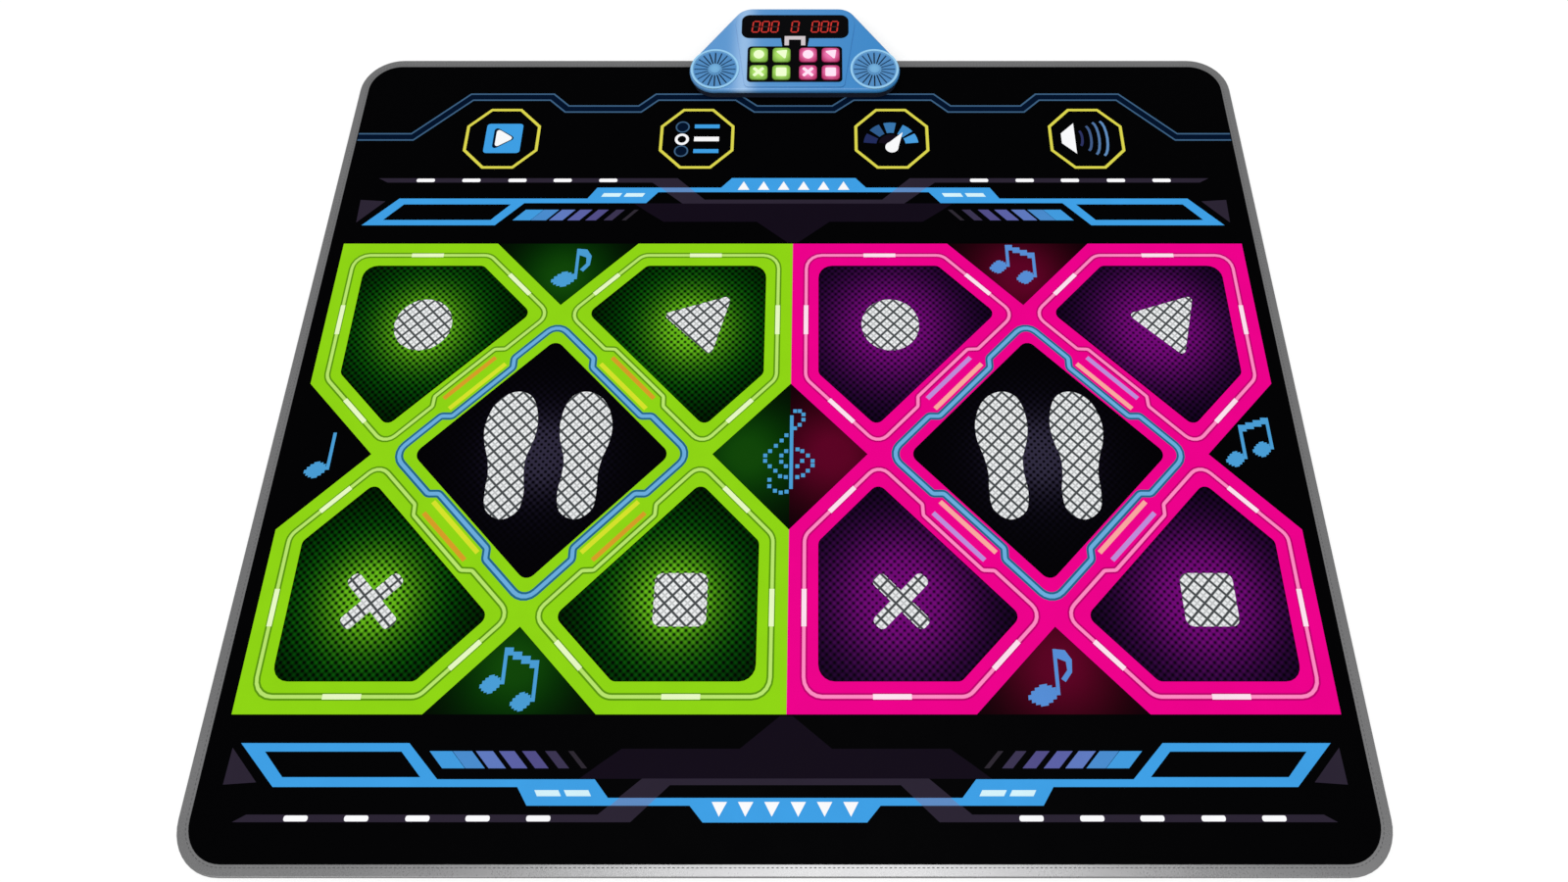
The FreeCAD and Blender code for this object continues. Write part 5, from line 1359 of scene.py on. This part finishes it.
# ------------------------------------------------------------------ sewn edge
@dataclass
class Stitching:
    """The row of stitches that holds the binding tape; sizes in metres."""

    inset: float = 0.0085
    corner: float = 0.0395
    pitch: float = 0.0042
    long: float = 0.0014
    thick: float = 0.0004

    def path(self) -> bpy.types.Object:
        """Makes the closed line that the stitches follow."""
        low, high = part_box("edge_binding")
        left, right = low.x + self.inset, high.x - self.inset
        outline = rounded(
            rectangle(left, low.y + self.inset, right, high.y - self.inset), self.corner, 10
        )
        mesh = bpy.data.meshes.new("stitch_path")
        count = len(outline)
        mesh.from_pydata(
            [(x, y, high.z) for x, y in outline], [(k, (k + 1) % count) for k in range(count)], []
        )
        return placed("stitch_path", mesh)

    def tree(self, thread: bpy.types.Material) -> bpy.types.NodeTree:
        """Builds the nodes that set one stitch after another along a line."""
        tree = bpy.data.node_groups.new("stitch_row", "GeometryNodeTree")
        tree.interface.new_socket("Geometry", in_out="INPUT", socket_type="NodeSocketGeometry")
        for name, value in (("Pitch", self.pitch), ("Long", self.long), ("Thick", self.thick)):
            socket = tree.interface.new_socket(name, in_out="INPUT", socket_type="NodeSocketFloat")
            socket.default_value = value
        tree.interface.new_socket("Geometry", in_out="OUTPUT", socket_type="NodeSocketGeometry")
        graph = Graph(tree)
        entry = graph.node("NodeGroupInput")
        curve = graph.node("GeometryNodeMeshToCurve", {0: entry.outputs["Geometry"]})
        spaced = graph.node("GeometryNodeResampleCurve", {"Curve": curve.outputs[0]})
        spaced.mode = "LENGTH"
        graph.feed(spaced.inputs["Length"], entry.outputs["Pitch"])
        tangent = graph.node("GeometryNodeInputTangent")
        turn = graph.node("FunctionNodeAlignRotationToVector", {"Vector": tangent.outputs[0]})
        turn.axis = "Z"
        capsule = graph.node("GeometryNodeMeshUVSphere", {"Segments": 8, "Rings": 5, "Radius": 1.0})
        size = graph.node(
            "ShaderNodeCombineXYZ",
            {0: entry.outputs["Thick"], 1: entry.outputs["Thick"], 2: entry.outputs["Long"]},
        )
        placed = graph.node(
            "GeometryNodeInstanceOnPoints",
            {"Points": spaced.outputs[0], "Instance": capsule.outputs[0], "Rotation": turn.outputs[0],
             "Scale": size.outputs[0]},
        )
        real = graph.node("GeometryNodeRealizeInstances", {0: placed.outputs[0]})
        dressed = graph.node("GeometryNodeSetMaterial", {"Geometry": real.outputs[0], "Material": thread})
        graph.node("NodeGroupOutput", {0: dressed.outputs[0]})
        return tree

    def build(self) -> bpy.types.Object:
        """Makes the stitches as one plain piece that rides on the mat."""
        path = self.path()
        thread = Tape("stitch_thread", srgb(92, 92, 94), 0.0005)
        modifier = path.modifiers.new("stitches", "NODES")
        modifier.node_group = self.tree(thread.material())
        return realised(path, "edge_stitches", "mat", thread.material())


def realised(
    source: bpy.types.Object, name: str, body: str, material: bpy.types.Material
) -> bpy.types.Object:
    """Turns what an object's modifiers make into one plain piece, and drops the object.

    Args:
        source: the object with the modifiers.
        name: the piece's name.
        body: the body it rides on.
        material: its finish.

    Returns:
        The piece.
    """
    graph = bpy.context.evaluated_depsgraph_get()
    mesh = bpy.data.meshes.new_from_object(source.evaluated_get(graph))
    bpy.data.objects.remove(source)
    mesh.name = name
    mesh.materials.clear()
    mesh.materials.append(material)
    piece = placed(name, mesh)
    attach(piece, body)
    return piece


# ------------------------------------------------------------------ console
@dataclass
class Face:
    """The console's tilted face: turns a place across, up its slope and out of it into the frame."""

    tilt: float = math.radians(3.0)
    lap: float = 0.063
    rise: float = 0.015

    def __post_init__(self) -> None:
        """Finds the face's near edge from the mat."""
        self.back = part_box("edge_binding")[1].y - self.lap
        self.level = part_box("top_cover")[1].z + self.rise

    def at(self, across: float, along: float, out: float) -> tuple[float, float, float]:
        """Gives the place of a point of the face, from millimetres to metres."""
        v, w = along * MM, out * MM
        return (
            across * MM,
            self.back + v * math.cos(self.tilt) - w * math.sin(self.tilt),
            self.level + v * math.sin(self.tilt) + w * math.cos(self.tilt),
        )

    def slab(self, name: str, outlines: list[Outline], low: float, high: float) -> bpy.types.Object:
        """Makes closed thin slabs that stand on the face between two rises."""
        vertices: list[tuple[float, float, float]] = []
        faces: list[list[int]] = []
        for outline in outlines:
            ordered = outline if signed_area(outline) > 0.0 else outline[::-1]
            first, count = len(vertices), len(ordered)
            vertices += [self.at(x, v, low) for x, v in ordered] + [self.at(x, v, high) for x, v in ordered]
            faces.append([first + k for k in range(count)][::-1])
            faces.append([first + count + k for k in range(count)])
            for k in range(count):
                after = (k + 1) % count
                faces.append([first + k, first + after, first + count + after, first + count + k])
        mesh = bpy.data.meshes.new(name)
        mesh.from_pydata(vertices, [], faces)
        mesh.update()
        return placed(name, mesh)


@dataclass
class Digits:
    """The seven-bar digits of the display; sizes in millimetres on the console's face."""

    tall: float = 17.0
    wide: float = 8.6
    pitch: float = 12.0
    thick: float = 1.7
    lean: float = 0.12
    gap: float = 0.45
    sink: float = 0.05
    rise: float = 0.06
    middle_v: float = 97.5
    groups: tuple[tuple[float, int], ...] = ((-37.8, 3), (0.0, 1), (37.8, 3))

    def bars(self, centre: float) -> dict[str, Outline]:
        """Gives the seven bars of one digit by name."""
        x, y = self.wide / 2.0, self.tall / 2.0
        ends = {
            "top": ((-x, y), (x, y)), "middle": ((-x, 0.0), (x, 0.0)), "foot": ((-x, -y), (x, -y)),
            "left_top": ((-x, 0.0), (-x, y)), "left_low": ((-x, -y), (-x, 0.0)),
            "right_top": ((x, 0.0), (x, y)), "right_low": ((x, -y), (x, 0.0)),
        }
        result = {}
        for name, (start, stop) in ends.items():
            way = (Vector(stop) - Vector(start)).normalized()
            side = Vector((-way.y, way.x)) * self.thick / 2.0
            a, b = Vector(start) + way * self.gap, Vector(stop) - way * self.gap
            tip = way * self.thick / 2.0
            shape = [a, a + tip - side, b - tip - side, b, b - tip + side, a + tip + side]
            result[name] = [(centre + p.x + self.lean * p.y, self.middle_v + p.y) for p in shape]
        return result

    def build(self, face: Face, top: float) -> list[bpy.types.Object]:
        """Makes the lit bars and the unlit ones."""
        lit: list[Outline] = []
        unlit: list[Outline] = []
        for middle, count in self.groups:
            for index in range(count):
                bars = self.bars(middle + (index - (count - 1) / 2.0) * self.pitch)
                unlit.append(bars.pop("middle"))
                lit += bars.values()
        made = []
        for name, shapes, finish in (
            ("digit_bars_lit", lit, Moulding("lit_bar", srgb(190, 34, 24), 0.4, glow=0.3)),
            ("digit_bars_unlit", unlit, Moulding("unlit_bar", srgb(52, 8, 6), 0.4)),
        ):
            piece = face.slab(name, shapes, top - self.sink, top + self.rise)
            piece.data.materials.append(finish.material())
            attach(piece, "mat")
            made.append(piece)
        return made


@dataclass
class Keys:
    """The eight keys and the symbol with a painted glow on each; sizes in millimetres on the console's face.
    """

    inner_x: float = 16.7
    outer_x: float = 45.1
    low_v: float = 25.0
    top_v: float = 52.0
    reach: float = 6.6
    sink: float = 0.1
    rise: float = 0.08
    rise_step: float = 0.03

    def shapes(self, symbol: str, across: float, along: float) -> list[Outline]:
        """Gives a key symbol's outlines."""
        size = self.reach
        if symbol == "circle":
            return [regular((across, along), size, 28)]
        if symbol == "square":
            return [rounded(rectangle(across - size, along - size, across + size, along + size), 1.6, 3)]
        if symbol == "triangle":
            local = [(-size * 1.15, size * 0.75), (size * 0.75, -size * 1.15), (size * 1.1, size * 1.1)]
            return [rounded(moved(local, (across, along)), 1.2, 3)]
        reach = size * 0.92
        arms = []
        for sign in (-1.0, 1.0):
            start = (across - sign * reach, along - reach)
            stop = (across + sign * reach, along + reach)
            arms.append(rounded(bar(start, stop, size * 0.62), 1.2, 3))
        return arms

    def build(self, face: Face, top: float) -> list[bpy.types.Object]:
        """Dresses each key and lays its symbol on it."""
        # per colour: the middle and rim of the keys' painted glow, and the symbols' colour
        tones = {
            "green": (srgb(172, 222, 104), srgb(112, 166, 48), srgb(226, 246, 196)),
            "pink": (srgb(232, 112, 172), srgb(178, 34, 98), srgb(250, 214, 232)),
        }
        made = []
        for colour, side in SIDES.items():
            middle, rim, light = tones[colour]
            for symbol, (across, along) in SYMBOLS.items():
                name = f"{colour}_{symbol}"
                x = side * (self.outer_x if across == side else self.inner_x)
                v = self.top_v if along > 0.0 else self.low_v
                low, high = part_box(f"{name}_key")
                centre = ((low.x + high.x) / 2.0, (low.y + high.y) / 2.0, high.z)
                plastic = KeyPlastic(f"{name}_plastic", middle, rim, centre)
                dress(f"{name}_key", plastic.material())
                outlines = self.shapes(symbol, x, v)
                for index, outline in enumerate(outlines):
                    label = f"{name}_key_mark" if index == 0 else f"{name}_key_mark_{index + 1}"
                    rise = self.rise + self.rise_step * index
                    piece = face.slab(label, [outline], top - self.sink, top + rise)
                    # painted light: the symbols glow faintly, with no lamp under them
                    mark = Moulding(f"{colour}_mark", light, 0.4, glow=0.18)
                    piece.data.materials.append(mark.material())
                    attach(piece, f"{name}_button")
                    made.append(piece)
        return made


def dress(node: str, material: bpy.types.Material) -> None:
    """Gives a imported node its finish."""
    found = frame["nodes"][node]
    found.data.materials.clear()
    found.data.materials.append(material)


FINISHES = {
    "base_vinyl": Moulding("base_vinyl", srgb(30, 30, 33), 0.75, 300.0, 0.6),
    "foam": Moulding("grey_foam", srgb(120, 120, 122), 0.95, 700.0, 0.8, 0.2),
    "film": Moulding("clear_film", srgb(196, 200, 196), 0.3, 400.0, 0.05),
    "carbon_ink": Moulding("carbon_ink", srgb(28, 28, 28), 0.7, 900.0, 0.3),
    "printed_cover": GROUND,
    "edge_tape": Tape("binding_tape", srgb(128, 128, 129), roughness=0.28, metallic=0.5),
    "steel": Moulding("zinc_steel", srgb(176, 178, 182), 0.34, 500.0, 0.1, 0.1, metallic=1.0),
    "green_pad_cover": Moulding("green_pad_vinyl", srgb(40, 90, 10), 0.5),
    "pink_pad_cover": Moulding("pink_pad_vinyl", srgb(60, 0, 66), 0.5),
    # the shell's second colour is its painted highlight and painted light on the left
    "blue_shell": ShellPlastic("blue_shell", srgb(56, 136, 202), srgb(158, 196, 236)),
    # dark_plastic is partly the lower housing's own dark colour and partly painted shade, standing in for the
    # shade under the console's shell
    "dark_plastic": Moulding("dark_plastic", srgb(34, 40, 58), 0.55, 1600.0, 0.3),
    "cell_wrap": Moulding("cell_wrap", srgb(60, 62, 66), 0.35, 700.0, 0.05, 0.1, metallic=0.4),
    "plated_contacts": Moulding("plated_contacts", srgb(190, 186, 172), 0.25, 700.0, 0.05, metallic=1.0),
    "display_black": Moulding("display_black", srgb(4, 4, 6), 0.25, 1500.0, 0.02, specular=0.04),
    "light_plastic": Moulding("light_plastic", srgb(206, 196, 200), 0.4, 1200.0, 0.05, glow=0.05),
    "board_green": Moulding("board_green", srgb(22, 96, 52), 0.35, 500.0, 0.1, 0.15),
    "speaker_steel": Moulding("speaker_steel", srgb(52, 54, 58), 0.4, 600.0, 0.1, metallic=0.8),
    "speaker_paper": Moulding("speaker_paper", srgb(14, 22, 34), 0.9, 900.0, 0.5, 0.2),
    "slider_plastic": Moulding("slider_plastic", srgb(18, 18, 20), 0.5, 1600.0, 0.2),
    "foot_rubber": Moulding("foot_rubber", srgb(22, 22, 23), 0.85, 900.0, 0.4),
}


def dress_nodes() -> None:
    """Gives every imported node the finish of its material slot."""
    low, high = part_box("speaker_grilles")
    radius = (high.y - low.y) / 2.0
    centre = (high.x - radius, (low.y + high.y) / 2.0, high.z)
    # the grille's second colour is the painted highlight of its rim ring
    grille = GrillePlastic(
        "grille_plastic", srgb(78, 140, 196), srgb(150, 206, 242), srgb(116, 178, 222), centre, radius
    )
    for part in frame["record"]["subparts"]:
        finish = {**FINISHES, "grille_plastic": grille}.get(part["material_slot"])
        if finish:
            dress(part["node"], finish.material())


# ------------------------------------------------------------------ stage
@dataclass
class Studio:
    """The floor, the lights and the camera; sizes in metres and degrees."""

    spot: tuple[float, float, float] = (0.0320, -0.3806, 0.8492)
    pitch: float = 68.815
    lens: float = 19.50
    shift: float = -0.0231

    def build(self, middle: Point) -> None:
        """Sets up the whole stage round the mat's middle."""
        self.floor()
        self.lights()
        data = bpy.data.cameras.new("camera")
        data.lens, data.sensor_width, data.shift_x = self.lens, 36.0, self.shift
        data.clip_start = 0.05
        camera = bpy.data.objects.new("camera", data)
        camera.location = (middle[0] + self.spot[0], middle[1] + self.spot[1], self.spot[2])
        camera.rotation_euler = (math.radians(90.0 - self.pitch), 0.0, 0.0)
        bpy.context.scene.collection.objects.link(camera)
        bpy.context.scene.camera = camera

    def floor(self) -> None:
        """Makes the plain pale floor."""
        reach = 40.0
        mesh = bpy.data.meshes.new("floor")
        corners = [(x, y, 0.0) for x, y in rectangle(-reach, -reach, reach, reach)]
        mesh.from_pydata(corners, [], [[0, 1, 2, 3]])
        floor = placed("floor", mesh)
        paint = Moulding("floor_paint", (0.93, 0.93, 0.93), 0.85, 40.0, 0.02, 0.01, specular=0.1)
        floor.data.materials.append(paint.material())

    def lights(self) -> None:
        """Makes an even soft light from above and both sides."""
        scene = bpy.context.scene
        scene.view_settings.view_transform = "Standard"
        world = bpy.data.worlds.new("studio")
        scene.world = world
        world.use_nodes = True
        background = world.node_tree.nodes["Background"]
        background.inputs["Color"].default_value = (1.0, 1.0, 1.0, 1.0)
        background.inputs["Strength"].default_value = 0.42
        for name, turn, rise, power in (
            ("key_left", -38.0, 52.0, 0.6), ("key_right", 38.0, 52.0, 0.3), ("overhead", 8.0, 83.0, 1.5),
        ):
            data = bpy.data.lights.new(name, "SUN")
            data.energy, data.angle = power, math.radians(30.0)
            light = bpy.data.objects.new(name, data)
            turn, rise = math.radians(turn), math.radians(rise)
            level = math.cos(rise)
            way = Vector((math.sin(turn) * level, -math.cos(turn) * level, math.sin(rise)))
            light.rotation_euler = way.to_track_quat("Z", "Y").to_euler()
            scene.collection.objects.link(light)


def main() -> None:
    """Builds every part of the scene in order."""
    logging.basicConfig(level=logging.INFO, format="%(name)s: %(message)s")
    dress_nodes()
    LOG.info("dressed %d packed nodes", len(frame["nodes"]))
    cover = Cover()
    cover.build()
    Stitching().build()
    LOG.info("stitched the binding")
    face = Face()
    digits = Digits().build(face, WINDOW_TOP)
    marks = Keys().build(face, KEY_TOP)
    LOG.info("console: %d digit pieces, %d key marks", len(digits), len(marks))
    Studio().build(cover.middle)


if __name__ == "__main__":
    main()
